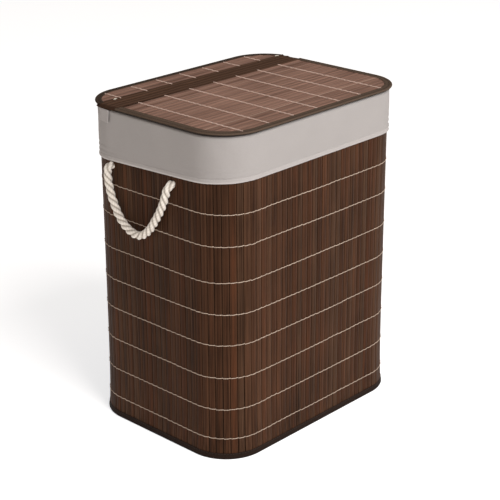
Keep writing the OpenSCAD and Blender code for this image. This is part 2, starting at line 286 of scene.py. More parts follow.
def on_lid(way, offset, z):
    """A point that far out from the lid's edge."""
    point, out, _ = LID.at(way)
    place = point + out * offset
    return Vector((place.x, place.y, z))


def along_wall(count):
    """Places evenly spaced round the wall: the way, the direction there and outwards."""
    for i in range(count):
        way = BODY.length * (i + 0.5) / count
        point, out, _ = BODY.at(way)
        yield way, point, Vector((-out.y, out.x, 0)), Vector((out.x, out.y, 0))


# ---------- shader maths ----------


class Value:
    """A socket that takes part in sums, as a number does."""

    def __init__(self, shader, socket):
        self.shader, self.socket = shader, socket

    def sum(self, operation, *others):
        return self.shader.node(
            "ShaderNodeMath", {"operation": operation}, dict(enumerate((self, *others)))
        )

    def __add__(self, other):
        return self.sum("ADD", other)

    __radd__ = __add__

    def __mul__(self, other):
        return self.sum("MULTIPLY", other)

    __rmul__ = __mul__

    def __sub__(self, other):
        return self.sum("SUBTRACT", other)

    def __rsub__(self, other):
        return self.shader.node(
            "ShaderNodeMath", {"operation": "SUBTRACT"}, {0: other, 1: self}
        )

    def sine(self):
        return self.sum("SINE")

    def clamped(self):
        return self.shader.node(
            "ShaderNodeMath", {"operation": "ADD", "use_clamp": True}, {0: self, 1: 0.0}
        )

    def step(self, low, high):
        """0 below low, 1 above high, and smooth between."""
        return self.shader.node(
            "ShaderNodeMapRange", {"interpolation_type": "SMOOTHSTEP"},
            {"Value": self, "From Min": low, "From Max": high},
        )


class Shader:
    """One procedural material."""

    def __init__(self, name):
        self.material = bpy.data.materials.new(name)
        self.material.use_nodes = True
        self.tree = self.material.node_tree
        self.tree.nodes.clear()

    def node(self, kind, settings=None, inputs=None, output=0):
        made = self.tree.nodes.new(kind)
        for key, value in (settings or {}).items():
            if key == "stops":
                ramp = made.color_ramp
                while len(ramp.elements) < len(value):
                    ramp.elements.new(1.0)
                for element, (place, colour) in zip(ramp.elements, value):
                    element.position = place
                    element.color = (*colour, 1.0)
            else:
                setattr(made, key, value)
        for key, value in (inputs or {}).items():
            if isinstance(value, Value):
                self.tree.links.new(value.socket, made.inputs[key])
            elif hasattr(value, "__len__") and made.inputs[key].type == "RGBA":
                made.inputs[key].default_value = (*value, 1.0)[:4]
            else:
                made.inputs[key].default_value = value
        return Value(self, made.outputs[output]) if made.outputs else None

    def place(self):
        return self.node("ShaderNodeTexCoord", output="Object")

    def uv(self):
        return self.node("ShaderNodeUVMap", {"uv_map": "cloth"})

    def part(self, vector, axis):
        return self.node("ShaderNodeSeparateXYZ", inputs={0: vector}, output=axis)

    def stretched(self, vector, scale):
        return self.node("ShaderNodeMapping", {}, {"Vector": vector, "Scale": scale})

    def mark(self, name):
        """A number that the mesh carries at each point."""
        return self.node("ShaderNodeAttribute", {"attribute_name": name}, output="Fac")

    def noise(self, vector, scale, detail=3.0, rough=0.55, twist=0.0):
        return self.node(
            "ShaderNodeTexNoise", {},
            {"Vector": vector, "Scale": scale, "Detail": detail, "Roughness": rough,
             "Distortion": twist},
        )

    def blend(self, share, a, b):
        return self.node(
            "ShaderNodeMix", {"data_type": "RGBA"}, {0: share, 6: a, 7: b}, output=2
        )

    def bump(self, height, strength, distance):
        return self.node(
            "ShaderNodeBump", {},
            {"Height": height, "Strength": strength, "Distance": distance},
        )

    def finish(self, **sockets):
        """The material, with those values or links on its shader's sockets."""
        names = {key.replace("_", " ").title().replace("Ior", "IOR"): value
                 for key, value in sockets.items()}
        skin = self.node("ShaderNodeBsdfPrincipled", {}, names)
        self.node("ShaderNodeOutputMaterial", {}, {"Surface": skin})
        return self.material


def darker(colour, share):
    return tuple(c * share for c in colour)


# the colour of the pale lines along some of the lid slats' edges
PALE_LINE_COLOUR = (0.56, 0.40, 0.31)


def wood_finish(name, dark, pale_a, pale_b, along, rough, tone_share, middle,
                band=330.0, strength=1.0):
    """Stained bamboo: streaks along the slat, a tone of its own for each slat, a painted highlight along its
    edges and pale lines where the edge mark goes past 1.
    """
    s = Shader(name)
    place = s.place()
    fine, broad, split = [2600.0] * 3, [band] * 3, [band * 1.9] * 3
    fine[along], broad[along], split[along] = 34.0, band / 55, band / 66
    streaks = s.noise(s.stretched(place, fine), 1.0, 2.0, 0.6)
    bands = s.noise(s.stretched(place, broad), 1.0, 2.0, 0.5, 0.3)
    cracks = s.noise(s.stretched(place, split), 1.0, 1.0, 0.5)
    clouds = s.noise(place, 9.0, 3.0, 0.6)
    tone, warm, edge = s.mark("tone"), s.mark("warm"), s.mark("edge")
    pale = s.blend((warm + 0.5 * (clouds - 0.5)).clamped(), pale_b, pale_a)
    share = (tone_share * tone + strength * 1.3 * (bands - 0.5)
             + strength * 1.3 * (cracks - 0.5) + 0.8 * (clouds - 0.5)
             + 0.5 * (streaks - 0.5) + middle).clamped()
    colour = s.blend(share, dark, pale)
    # painted highlight: the slat's marked edges and sides turn paler
    colour = s.blend((edge * (0.2 + 0.4 * bands)).clamped(), colour, pale_b)
    # pale lines where the edge mark goes past 1, on a few lid slats' edges
    pale_line = ((edge - 1.0) * 1.5).clamped()
    colour = s.blend(pale_line * 0.8, colour, PALE_LINE_COLOUR)
    pores = streaks.step(0.58, 0.72)
    colour = s.blend(pores * 0.45, colour, dark)
    height = streaks * 0.6 + bands * 0.7 + cracks * 0.5
    return s.finish(
        base_color=colour,
        roughness=(rough + 0.16 * (bands - 0.5) + 0.10 * (streaks - 0.5)),
        normal=s.bump(height, 0.45, 0.00035),
        specular_ior_level=0.04,
    )


def weave_height(s, uv, pitch):
    """The over and under of plain cloth, from 0 to 1."""
    x, y = (s.part(uv, axis) * (TAU / pitch) for axis in ("X", "Y"))
    return (x.sine() * y.sine()) * 0.5 + 0.5


def cloth_finish(name, colour, deep, pitch, rough, sheen, fade=0.12, painted_light_tint=None):
    """Plain woven cloth: threads, slubs and soft blotches, and the tint given last, painted where the edge
    mark lies, as painted shadow under the lid's binding and painted highlight on the hem.
    """
    s = Shader(name)
    uv, place = s.uv(), s.place()
    weave = weave_height(s, uv, pitch)
    slubs = s.noise(s.stretched(uv, (900.0, 70.0, 1.0)), 1.0, 2.0)
    cross = s.noise(s.stretched(uv, (70.0, 900.0, 1.0)), 1.0, 2.0)
    blotch = s.noise(place, 16.0, 4.0, 0.6)
    painted_light_share = s.mark("edge")
    share = (0.30 * weave + 0.35 * slubs + 0.30 * cross + fade * 3 * (blotch - 0.5)).clamped()
    tint = s.blend(share, deep, colour)
    # painted light: the marked points take the last tint, painted shadow on the binding and painted
    # highlight on the hem
    tint = s.blend(painted_light_share.clamped(), tint, painted_light_tint or colour)
    return s.finish(
        base_color=tint,
        roughness=(rough + 0.14 * (blotch - 0.5)),
        normal=s.bump(weave * 0.7 + slubs * 0.5 + cross * 0.5, 0.5, 0.0003),
        sheen_weight=sheen,
        sheen_roughness=0.5,
        specular_ior_level=0.06,
    )


def band_finish():
    """The hinge band's cloth: stripes along its length in painted light and shade of soft creases, bumped to
    match, and a darker tone towards its ends.
    """
    s = Shader("hinge_band_cloth")
    c = colours().band
    uv, place = s.uv(), s.place()
    weave = weave_height(s, uv, 0.0012)
    depth = s.part(place, "Y")
    wander = s.noise(place, 9.0, 3.0, 0.6)
    # painted light and shade of soft creases: stripes of lighter and darker colour along the band, which
    # also raise the bump
    crease_shade_and_relief = ((depth + 0.012 * wander) * (TAU / 0.0125)).sine() * 0.5 + 0.5
    slubs = s.noise(s.stretched(place, (60.0, 800.0, 800.0)), 1.0, 2.0)
    ends = s.mark("edge")
    share = ((0.75 * crease_shade_and_relief + 0.2 * weave) * (1 - ends) + 0.5 * (slubs - 0.5) + 0.05).clamped()
    return s.finish(
        base_color=s.blend(share, darker(c, 0.5), darker(c, 1.25)),
        roughness=(0.74 + 0.12 * (wander - 0.5)),
        normal=s.bump(weave * 0.6 + slubs * 0.5 + crease_shade_and_relief * 1.2 * (1 - ends), 0.5, 0.0004),
        specular_ior_level=0.05,
    )


def rope_finish():
    """Laid cotton: yarns across each strand, and painted shade in the groove between two strands."""
    s = Shader("cotton_rope")
    c = colours()
    uv, place = s.uv(), s.place()
    around, along = s.part(uv, "X"), s.part(uv, "Y")
    slant = around * 1500.0 - along * 620.0 + 2.2 * s.noise(place, 260.0, 2.0)
    yarn = slant.sine() * 0.5 + 0.5
    fuzz = s.noise(place, 1900.0, 3.0, 0.7)
    dirt = s.noise(place, 34.0, 3.0, 0.6)
    groove_shade = s.mark("edge")
    colour = s.blend((0.45 * yarn + 0.35 * fuzz + 0.35 * dirt).clamped(),
                     darker(c.rope, 0.70), c.rope)
    # painted shade in the grooves between strands
    colour = s.blend((groove_shade * 0.95).clamped(), colour,
                     darker((c.rope[0], c.rope[1] * 0.85, c.rope[2] * 0.7), 0.26))
    return s.finish(
        base_color=colour,
        roughness=(0.82 + 0.12 * (fuzz - 0.5)),
        normal=s.bump(yarn * 0.8 + fuzz * 0.5, 0.6, 0.0005),
        sheen_weight=0.25,
        sheen_roughness=0.5,
        specular_ior_level=0.25,
    )


def thread_finish(name, colour, twist_pitch=0.0011):
    """Twisted thread."""
    s = Shader(name)
    uv, place = s.uv(), s.place()
    around, along = s.part(uv, "X"), s.part(uv, "Y")
    twist = ((around * 1300.0) + along * (TAU / twist_pitch)).sine() * 0.5 + 0.5
    wander = s.noise(place, 60.0, 3.0, 0.6)
    tint = s.blend((0.5 * twist + 0.7 * wander - 0.1).clamped(), darker(colour, 0.55), colour)
    return s.finish(
        base_color=tint,
        roughness=(0.74 + 0.15 * (wander - 0.5)),
        normal=s.bump(twist, 0.6, 0.0003),
        specular_ior_level=0.3,
    )


def wire_finish():
    """Drawn steel with a little rust."""
    s = Shader("bare_steel_wire")
    place = s.place()
    drawn = s.noise(place, 420.0, 3.0, 0.6)
    rust = s.noise(place, 26.0, 4.0, 0.65).step(0.60, 0.72)
    tint = s.blend(rust * 0.5, (0.44, 0.44, 0.45), (0.22, 0.12, 0.07))
    return s.finish(
        base_color=tint, metallic=(1.0 - 0.7 * rust), roughness=(0.32 + 0.25 * drawn),
        normal=s.bump(drawn, 0.2, 0.0002),
    )


def board_finish():
    """Pressed wood fibre."""
    s = Shader("pressed_board")
    place = s.place()
    flakes = s.noise(s.stretched(place, (260.0, 90.0, 260.0)), 1.0, 4.0, 0.7)
    clouds = s.noise(place, 12.0, 3.0, 0.6)
    tint = s.blend((0.7 * flakes + 0.5 * clouds - 0.1).clamped(),
                   darker(colours().board, 0.55), colours().board)
    return s.finish(base_color=tint, roughness=(0.8 + 0.1 * (flakes - 0.5)),
                    normal=s.bump(flakes, 0.4, 0.0004))


def floor_finish():
    """A pale floor, bright enough to meet the sky."""
    s = Shader("pale_floor")
    haze = s.noise(s.place(), 1.5, 2.0)
    tint = s.blend(haze, darker(colours().floor, 0.99), tuple(colours().floor))
    return s.finish(base_color=tint, roughness=(0.85 + 0.05 * (haze - 0.5)),
                    specular_ior_level=0.1, emission_color=(0.90, 0.95, 1.0),
                    emission_strength=0.635)


FINISHES = {}


def finish(name):
    """The material of that name, made when it is first asked for."""
    c = colours()
    makers = {
        "wall_wood": lambda: wood_finish("stained_bamboo", c.wood_dark, c.wood_red,
                                         c.wood_grey, 2, 0.50, 0.28, 0.35),
        # the lid's wood: the wall's finish with paler colours, partly painted light from above
        "lid_wood": lambda: wood_finish("lid_bamboo_toplit", c.lid_dark_toplit, c.lid_pale_toplit,
                                        c.lid_pale_toplit, 0, 0.50, 0.20, 0.43, 250.0, 1.3),
        # the binding's last colour is the painted shadow under the lid's binding
        "tape": lambda: cloth_finish("binding_cloth", c.tape, darker(c.tape, 0.45),
                                     0.0011, 0.72, 0.0, 0.2, darker(c.tape, 0.12)),
        "band": band_finish,
        "dark_tape": lambda: cloth_finish("mat_cloth", darker(c.tape, 0.12),
                                          darker(c.tape, 0.06), 0.0011, 0.75, 0.0),
        "base_tape": lambda: cloth_finish("base_binding_cloth", c.base_tape,
                                          darker(c.base_tape, 0.5), 0.0011, 0.66, 0.0),
        "lining": lambda: cloth_finish("liner_cloth", c.cloth, darker(c.cloth, 0.80),
                                       0.0012, 0.86, 0.08, 0.17),
        # (0.53, 0.485, 0.46) is the painted highlight on the hem's lowest fold
        "hem": lambda: cloth_finish("hem_cloth", c.hem, darker(c.hem, 0.80),
                                    0.0012, 0.86, 0.10, 0.10, (0.53, 0.485, 0.46)),
        "rope": rope_finish,
        "thread": lambda: thread_finish("slat_thread", c.thread),
        "lid_thread": lambda: thread_finish("lid_slat_thread", c.lid_thread),
        "stitch": lambda: thread_finish("sewing_thread", (0.045, 0.028, 0.020), 0.0008),
        "pale_stitch": lambda: thread_finish("pale_sewing_thread", (0.62, 0.58, 0.53), 0.0008),
        "tack": lambda: thread_finish("tack_thread", (0.80, 0.72, 0.60), 0.0009),
        "wire": wire_finish,
        "board": board_finish,
        "floor": floor_finish,
    }
    if name not in FINISHES:
        FINISHES[name] = makers[name]()
    return FINISHES[name]


# ---------- shapes that repeat ----------

# what a point carries for the materials: its slat's tone and warmth, and its edge mark, which places painted
# highlights and painted shade, the pale lines on some lid slats and the plain ends of the hinge band
MARKS = ("tone", "warm", "edge")


def new_mesh():
    """An empty mesh with the map and the marks that the materials read."""
    bm = bmesh.new()
    bm.loops.layers.uv.new("cloth")
    for name in MARKS:
        bm.verts.layers.float.new(name)
    return bm


def surface(bm, steps_u, steps_v, place, uv_size, merge=2e-6):
    """A grid whose points go where place(u, v) says, for u and v from 0 to 1. Its map has
    that size in metres, and edges that meet are joined."""
    uv = bm.loops.layers.uv.active
    made = bmesh.ops.create_grid(bm, x_segments=steps_u, y_segments=steps_v, size=0.5)
    points = made["verts"]
    low = min(v.co.x for v in points)
    wide = max(v.co.x for v in points) - low
    shares = {v: ((v.co.x - low) / wide, (v.co.y - low) / wide) for v in points}
    for face in {f for v in points for f in v.link_faces}:
        for loop in face.loops:
            u, w = shares[loop.vert]
            loop[uv].uv = (u * uv_size[0], w * uv_size[1])
    for v, (u, w) in shares.items():
        v.co = place(u, w)
    if merge:
        bmesh.ops.remove_doubles(bm, verts=points, dist=merge)
    return [v for v in points if v.is_valid]


def close_ends(bm):
    """Fills the open ends of tubes."""
    rims = [e for e in bm.edges if e.is_boundary]
    bmesh.ops.holes_fill(bm, edges=rims, sides=0)


def frames_along(line, closed=False):
    """Two directions across the line at each of its points, with no needless twist."""
    count = len(line)
    ways = []
    for i in range(count):
        before = line[(i - 1) % count if closed else max(i - 1, 0)]
        after = line[(i + 1) % count if closed else min(i + 1, count - 1)]
        ways.append((after - before).normalized())
    side = ways[0].orthogonal().normalized()
    result = []
    for way in ways:
        side = (side - way * side.dot(way)).normalized()
        result.append((side, way.cross(side)))
    return result


def smooth_line(points, step):
    """A smooth curve through the points, in steps of about that length."""
    dense, parts = [], 24
    for i in range(len(points) - 1):
        a, b = points[max(i - 1, 0)], points[i]
        c, d = points[i + 1], points[min(i + 2, len(points) - 1)]
        for k in range(parts):
            t = k / parts
            dense.append(0.5 * (2 * b + (c - a) * t + (2 * a - 5 * b + 4 * c - d) * t * t
                                + (3 * b - a - 3 * c + d) * t ** 3))
    dense.append(points[-1].copy())
    ways = [0.0]
    for p, q in zip(dense, dense[1:]):
        ways.append(ways[-1] + (q - p).length)
    count = max(2, round(ways[-1] / step))
    line, k = [], 0
    for i in range(count + 1):
        goal = ways[-1] * i / count
        while k < len(ways) - 2 and ways[k + 1] < goal:
            k += 1
        part = (goal - ways[k]) / max(ways[k + 1] - ways[k], 1e-9)
        line.append(dense[k].lerp(dense[k + 1], min(max(part, 0.0), 1.0)))
    return line


def line_length(line):
    return sum((q - p).length for p, q in zip(line, line[1:]))


def tube(bm, line, radius, around, closed=False, mark=None):
    """A tube along the line. radius(angle, way) gives its size, and mark the same way how
    strongly a point is marked as edge."""
    count = len(line) if closed else len(line) - 1
    frames = frames_along(line, closed)
    ways = [0.0]
    for i in range(count):
        ways.append(ways[-1] + (line[(i + 1) % len(line)] - line[i]).length)
    edge = bm.verts.layers.float["edge"]
    marks = {}

    def place(u, v):
        i = round(v * count)
        side, up = frames[i % len(line)]
        angle = TAU * (round(u * around) % around) / around
        size = radius(angle, ways[i])
        point = line[i % len(line)] + (side * math.cos(angle) + up * math.sin(angle)) * size
        if mark:
            marks[key_of(point)] = mark(angle, ways[i])
        return point

    def key_of(point):
        return tuple(round(value, 6) for value in point)

    girth = TAU * radius(0.0, 0.0)
    points = surface(bm, around, count, place, (girth, ways[-1]))
    if mark:
        for v in points:
            v[edge] = marks.get(key_of(v.co), 0.0)


def uneven(radius):
    """The size of a spun thread, which varies along it."""
    return lambda angle, way: radius * (1 + 0.16 * noisy(way * 300, angle))


def stitches(bm, path, pitch, size, height, lift):
    """Short bevelled stitches along a path of (point, direction, outward normal)."""
    for point, way, out in path:
        turn = Matrix((way, out.cross(way), out)).transposed().to_4x4()
        turn.translation = point + out * lift
        bmesh.ops.create_cube(
            bm, size=1.0, matrix=turn @ Matrix.Diagonal((pitch * 0.66, size, height, 1.0))
        )
    bmesh.ops.bevel(
        bm, geom=bm.edges[:], offset=min(size, height) * 0.3, offset_type="OFFSET",
        segments=1, profile=0.5, affect="EDGES", material=-1,
    )


def piece(bm, name, body, material, replaces=(), outward=True, thick=0.0,
          sharp=40.0, blend=None):
    """Writes the mesh as a piece that rides on a body or bends between two. thick makes a
    cloth of a surface."""
    if outward:
        bmesh.ops.recalc_face_normals(bm, faces=bm.faces[:])
    mesh = bpy.data.meshes.new(name)
    bm.to_mesh(mesh)
    bm.free()
    mesh.shade_smooth()
    mesh.set_sharp_from_angle(angle=math.radians(sharp))
    obj = bpy.data.objects.new(name, mesh)
    bpy.context.scene.collection.objects.link(obj)
    mesh.materials.append(finish(material))
    if blend:
        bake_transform(obj, *blend)
    else:
        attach(obj, body)
    if thick:
        wall = obj.modifiers.new("cloth", "SOLIDIFY")
        wall.thickness = thick
        wall.offset = 0.0
        wall.use_even_offset = False
    if replaces:
        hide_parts(*replaces)
    return obj


def paint_node(node, material):
    """Gives a CAD node that stays its procedural material."""
    slots = frame["nodes"][node].material_slots
    if not slots:
        frame["nodes"][node].data.materials.append(finish(material))
    for place in slots:
        place.material = finish(material)


# ---------- camera, lights and floor ----------


class HAMPER_OT_stage(bpy.types.Operator):
    """Sets up the camera, the lights and the floor"""

    bl_idname = "hamper.stage"
    bl_label = "Camera, lights and floor"

    EYE = (-1.9667, -1.8629, 1.3998)
    YAW, PITCH, ROLL = 0.8149, 0.3795, 0.0034
    LENS = 103.45
    SENSOR = 36.0
    AIM = Vector((0.0, 0.0, 0.3))
    SKY = (1.0, 0.90, 0.815, 1.0)
    SKY_STRENGTH = 0.34
    FLOOR_REACH = 20

    def execute(self, context):
        scene = bpy.context.scene
        self.camera(scene)
        self.light("key", (-0.4, -3.5, 3.4), 2.8, 213.0, (0.950, 0.972, 1.0))
        self.light("fill", (-3.2, -1.0, 1.6), 2.6, 0.8, (1.0, 0.98, 0.95))
        world = bpy.data.worlds.new("studio")
        world.use_nodes = True
        sky = world.node_tree.nodes["Background"]
        sky.inputs["Color"].default_value = self.SKY
        sky.inputs["Strength"].default_value = self.SKY_STRENGTH
        scene.world = world
        self.floor(scene)
        return {"FINISHED"}

    def camera(self, scene):
        data = bpy.data.cameras.new("camera")
        data.lens, data.sensor_width = self.LENS, self.SENSOR
        data.clip_start, data.clip_end = 0.05, 60.0
        camera = bpy.data.objects.new("camera", data)
        scene.collection.objects.link(camera)
        level = math.cos(self.PITCH)
        forward = Vector((math.sin(self.YAW) * level, math.cos(self.YAW) * level,
                          -math.sin(self.PITCH)))
        turn = forward.to_track_quat("-Z", "Y").to_matrix().to_4x4()
        roll = Matrix.Rotation(-self.ROLL, 4, "Z")
        camera.matrix_world = Matrix.Translation(self.EYE) @ turn @ roll
        scene.camera = camera
        scene.view_settings.view_transform = "Standard"

    def floor(self, scene):
        reach, z = self.FLOOR_REACH, CAD_BOX[0].z - 0.2 * MM
        bm = new_mesh()
        surface(bm, 8, 8,
                lambda u, v: Vector((mix(-reach, reach, u), mix(-reach, reach, v), z)),
                (1.0, 1.0))
        mesh = bpy.data.meshes.new("floor")
        bm.to_mesh(mesh)
        bm.free()
        floor = bpy.data.objects.new("floor", mesh)
        mesh.materials.append(finish("floor"))
        scene.collection.objects.link(floor)

    def light(self, name, place, size, watts, colour):
        data = bpy.data.lights.new(name, "AREA")
        data.shape, data.size, data.energy, data.color = "SQUARE", size, watts, colour
        lamp = bpy.data.objects.new(name, data)
        bpy.context.scene.collection.objects.link(lamp)
        lamp.location = place
        aim = self.AIM - Vector(place)
        lamp.rotation_euler = aim.to_track_quat("-Z", "Y").to_euler()


# ---------- ropes ----------

# the rope's line from the back hole to the front one: (share of spacing, share of drop)
LOOP_LINE = (
    (0, 0.21), (0.02, 0.34), (0.05, 0.47), (0.1, 0.6), (0.155, 0.72),
    (0.22, 0.815), (0.295, 0.888), (0.38, 0.938), (0.47, 0.958), (0.555, 0.932), (0.635, 0.86),
    (0.71, 0.755), (0.78, 0.62), (0.84, 0.5), (0.89, 0.375), (0.93, 0.25), (0.965, 0.12),
)
ROPE_R = 8.0 * MM
# two holes of a rope are further apart than this
HOLES_APART = 0.03


def strands(turns_per_metre, radius):
    """The size of three laid strands round the rope's middle, and how far a point lies in a groove, which
    sets the painted shade there.
    """
    centre, strand = 0.46 * radius, 0.54 * radius

    def lobe(angle, way):
        turned = (angle + TAU * turns_per_metre * way) % (TAU / 3) - TAU / 6
        reach = strand * strand - (centre * math.sin(turned)) ** 2
        return turned, centre * math.cos(turned) + math.sqrt(max(reach, 0.0))

    def size(angle, way):
        return lobe(angle, way)[1] * (1 + 0.012 * noisy(way * 90, angle))

    def groove_shade(angle, way):
        return max(0.0, (abs(lobe(angle, way)[0]) * 6 / TAU - 0.55) / 0.45)

    return size, groove_shade


class HAMPER_OT_ropes(bpy.types.Operator):
    """Lays the two rope handles and ties their knots"""

    bl_idname = "hamper.ropes"
    bl_label = "Rope handles"

    def execute(self, context):
        for end, name in ((-1, "left"), (1, "right")):
            joint = next(j for j in frame["record"]["behaviour"]["joints"]
                         if j["name"] == f"{name}_handle_swing")
            self.rope(end, name, joint)
            self.knots(end, name)
        return {"FINISHED"}

    def rope(self, end, name, joint):
        ends = rows_of(f"{name}_rope_ends", 1, HOLES_APART)
        front, back = ends[0], ends[-1]
        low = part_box(f"{name}_handle_rope")[0].z + ROPE_R
        pivot_x, _, hole_z = joint["pos_m"]
        drop = hole_z - low
        wall = end * BODY.width / 2
        inner = wall - end * 5.5 * MM

        def out_of_wall(y, lean):
            return [
                Vector((inner, y, hole_z)),
                Vector((wall - end * 1.0 * MM, y, hole_z)),
                Vector((wall + end * 4.5 * MM, y, hole_z - 0.3 * MM)),
                Vector((wall + end * 9.3 * MM, y + lean * 0.3, hole_z - 3.4 * MM)),
                Vector((pivot_x, y + lean, hole_z - 8.6 * MM)),
            ]

        loop = []
        for across, down in LOOP_LINE:
            sway = 1.6 * MM * math.sin(math.pi * across)
            loop.append(Vector((pivot_x + end * sway, back - across * (back - front),
                                hole_z - down * drop)))
        route = out_of_wall(back, 0.4 * MM) + loop
        route += list(reversed(out_of_wall(front, 3.2 * MM)))
        line = smooth_line(route, 1.9 * MM)
        radius, groove_shade = strands(1 / sizes().rope_lay, ROPE_R)
        bm = new_mesh()
        # the grooves are marked for their painted shade
        tube(bm, line, radius, 36, mark=groove_shade)
        close_ends(bm)
        stiff, free = hole_z - 8.5 * MM, hole_z - 42 * MM
        rope = piece(
            bm, f"{name}_rope", None, "rope",
            (f"{name}_handle_rope", f"{name}_rope_ends"), sharp=70,
            blend=("root", f"{name}_handle", (0, 0, stiff), (0, 0, free)),
        )
        round(line_length(line), 3)
        [tuple(p) for p in line]

    def knots(self, end, name):
        bm = new_mesh()
        node = f"{name}_rope_knots"
        low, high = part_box(node)
        radius, groove_shade = strands(1 / sizes().rope_lay, 5.6 * MM)
        inner, steps = min(abs(low.x), abs(high.x)), 96
        for y in rows_of(node, 1, HOLES_APART):
            mid_x = end * (inner + 11 * MM) if y > 0 else end * (inner + 12 * MM)
            loop = []
            for i in range(steps):
                t = TAU * i / steps
                wide = 3.35 * MM * (2 + math.cos(3 * t))
                loop.append(Vector((
                    mid_x + 4.9 * MM * math.sin(3 * t),
                    y + wide * math.cos(2 * t),
                    (low.z + high.z) / 2 + wide * math.sin(2 * t),
                )))
            # the grooves are marked for their painted shade
            tube(bm, loop, radius, 18, closed=True, mark=groove_shade)
        piece(bm, f"{name}_knots", "root", "rope", (node,), sharp=70)


# ---------- slats ----------


def slat_shape(length_m, width, thick, cuts):
    """One bevelled, crowned slat along Z, its face towards +X at 0, cut at those heights."""
    bm = bmesh.new()
    for name in MARKS:
        bm.verts.layers.float.new(name)
    bmesh.ops.create_cube(
        bm, size=1.0,
        matrix=Matrix.Translation((-thick / 2, 0, length_m / 2))
        @ Matrix.Diagonal((thick, width, length_m, 1.0)),
    )
    outer = [e for e in bm.edges
             if all(v.co.x > -thick / 4 for v in e.verts)
             and abs(e.verts[0].co.z - e.verts[1].co.z) > length_m / 2]
    bmesh.ops.bevel(bm, geom=outer, offset=0.75 * MM, offset_type="OFFSET", segments=2,
                    profile=0.5, affect="EDGES", material=-1)
    for height in cuts:
        bmesh.ops.bisect_plane(bm, geom=bm.verts[:] + bm.edges[:] + bm.faces[:],
                               plane_co=(0, 0, height), plane_no=(0, 0, 1))
    middle = bmesh.ops.bisect_plane(bm, geom=bm.verts[:] + bm.edges[:] + bm.faces[:],
                                    plane_co=(0, 0, 0), plane_no=(0, 1, 0))
    for v in {g for g in middle["geom_cut"] if isinstance(g, bmesh.types.BMVert)}:
        if v.co.x > -thick / 2:
            v.co.x += sizes().slat_crown
    # the slat's sides and bevels are marked for the painted highlight along its edges
    edge = bm.verts.layers.float["edge"]
    for v in bm.verts:
        if -thick * 0.75 < v.co.x < -0.05 * MM or abs(v.co.y) > width / 2 - 0.9 * MM:
            v[edge] = 1.0
    mesh = bpy.data.meshes.new("slat_shape")
    bm.to_mesh(mesh)
    bm.free()
    return mesh


def lay_slat(bm, mesh, shape, rng, edge_highlight):
    """Adds a slat, moving each point with shape(point). The last argument sets how much painted highlight
    its edges get. A few slats are much darker than the rest."""
    before = len(bm.verts)
    bm.from_mesh(mesh)
    bm.verts.ensure_lookup_table()
    tone, warm, edge = (bm.verts.layers.float[name] for name in MARKS)
    shade_of, heat = rng.random(), rng.random()
    if rng.random() < 0.16:
        shade_of *= 0.3
    for v in bm.verts[before:]:
        v[tone], v[warm] = shade_of, heat
        # scales the slat's painted edge highlight
        v[edge] *= edge_highlight
        v.co = shape(v.co.copy())


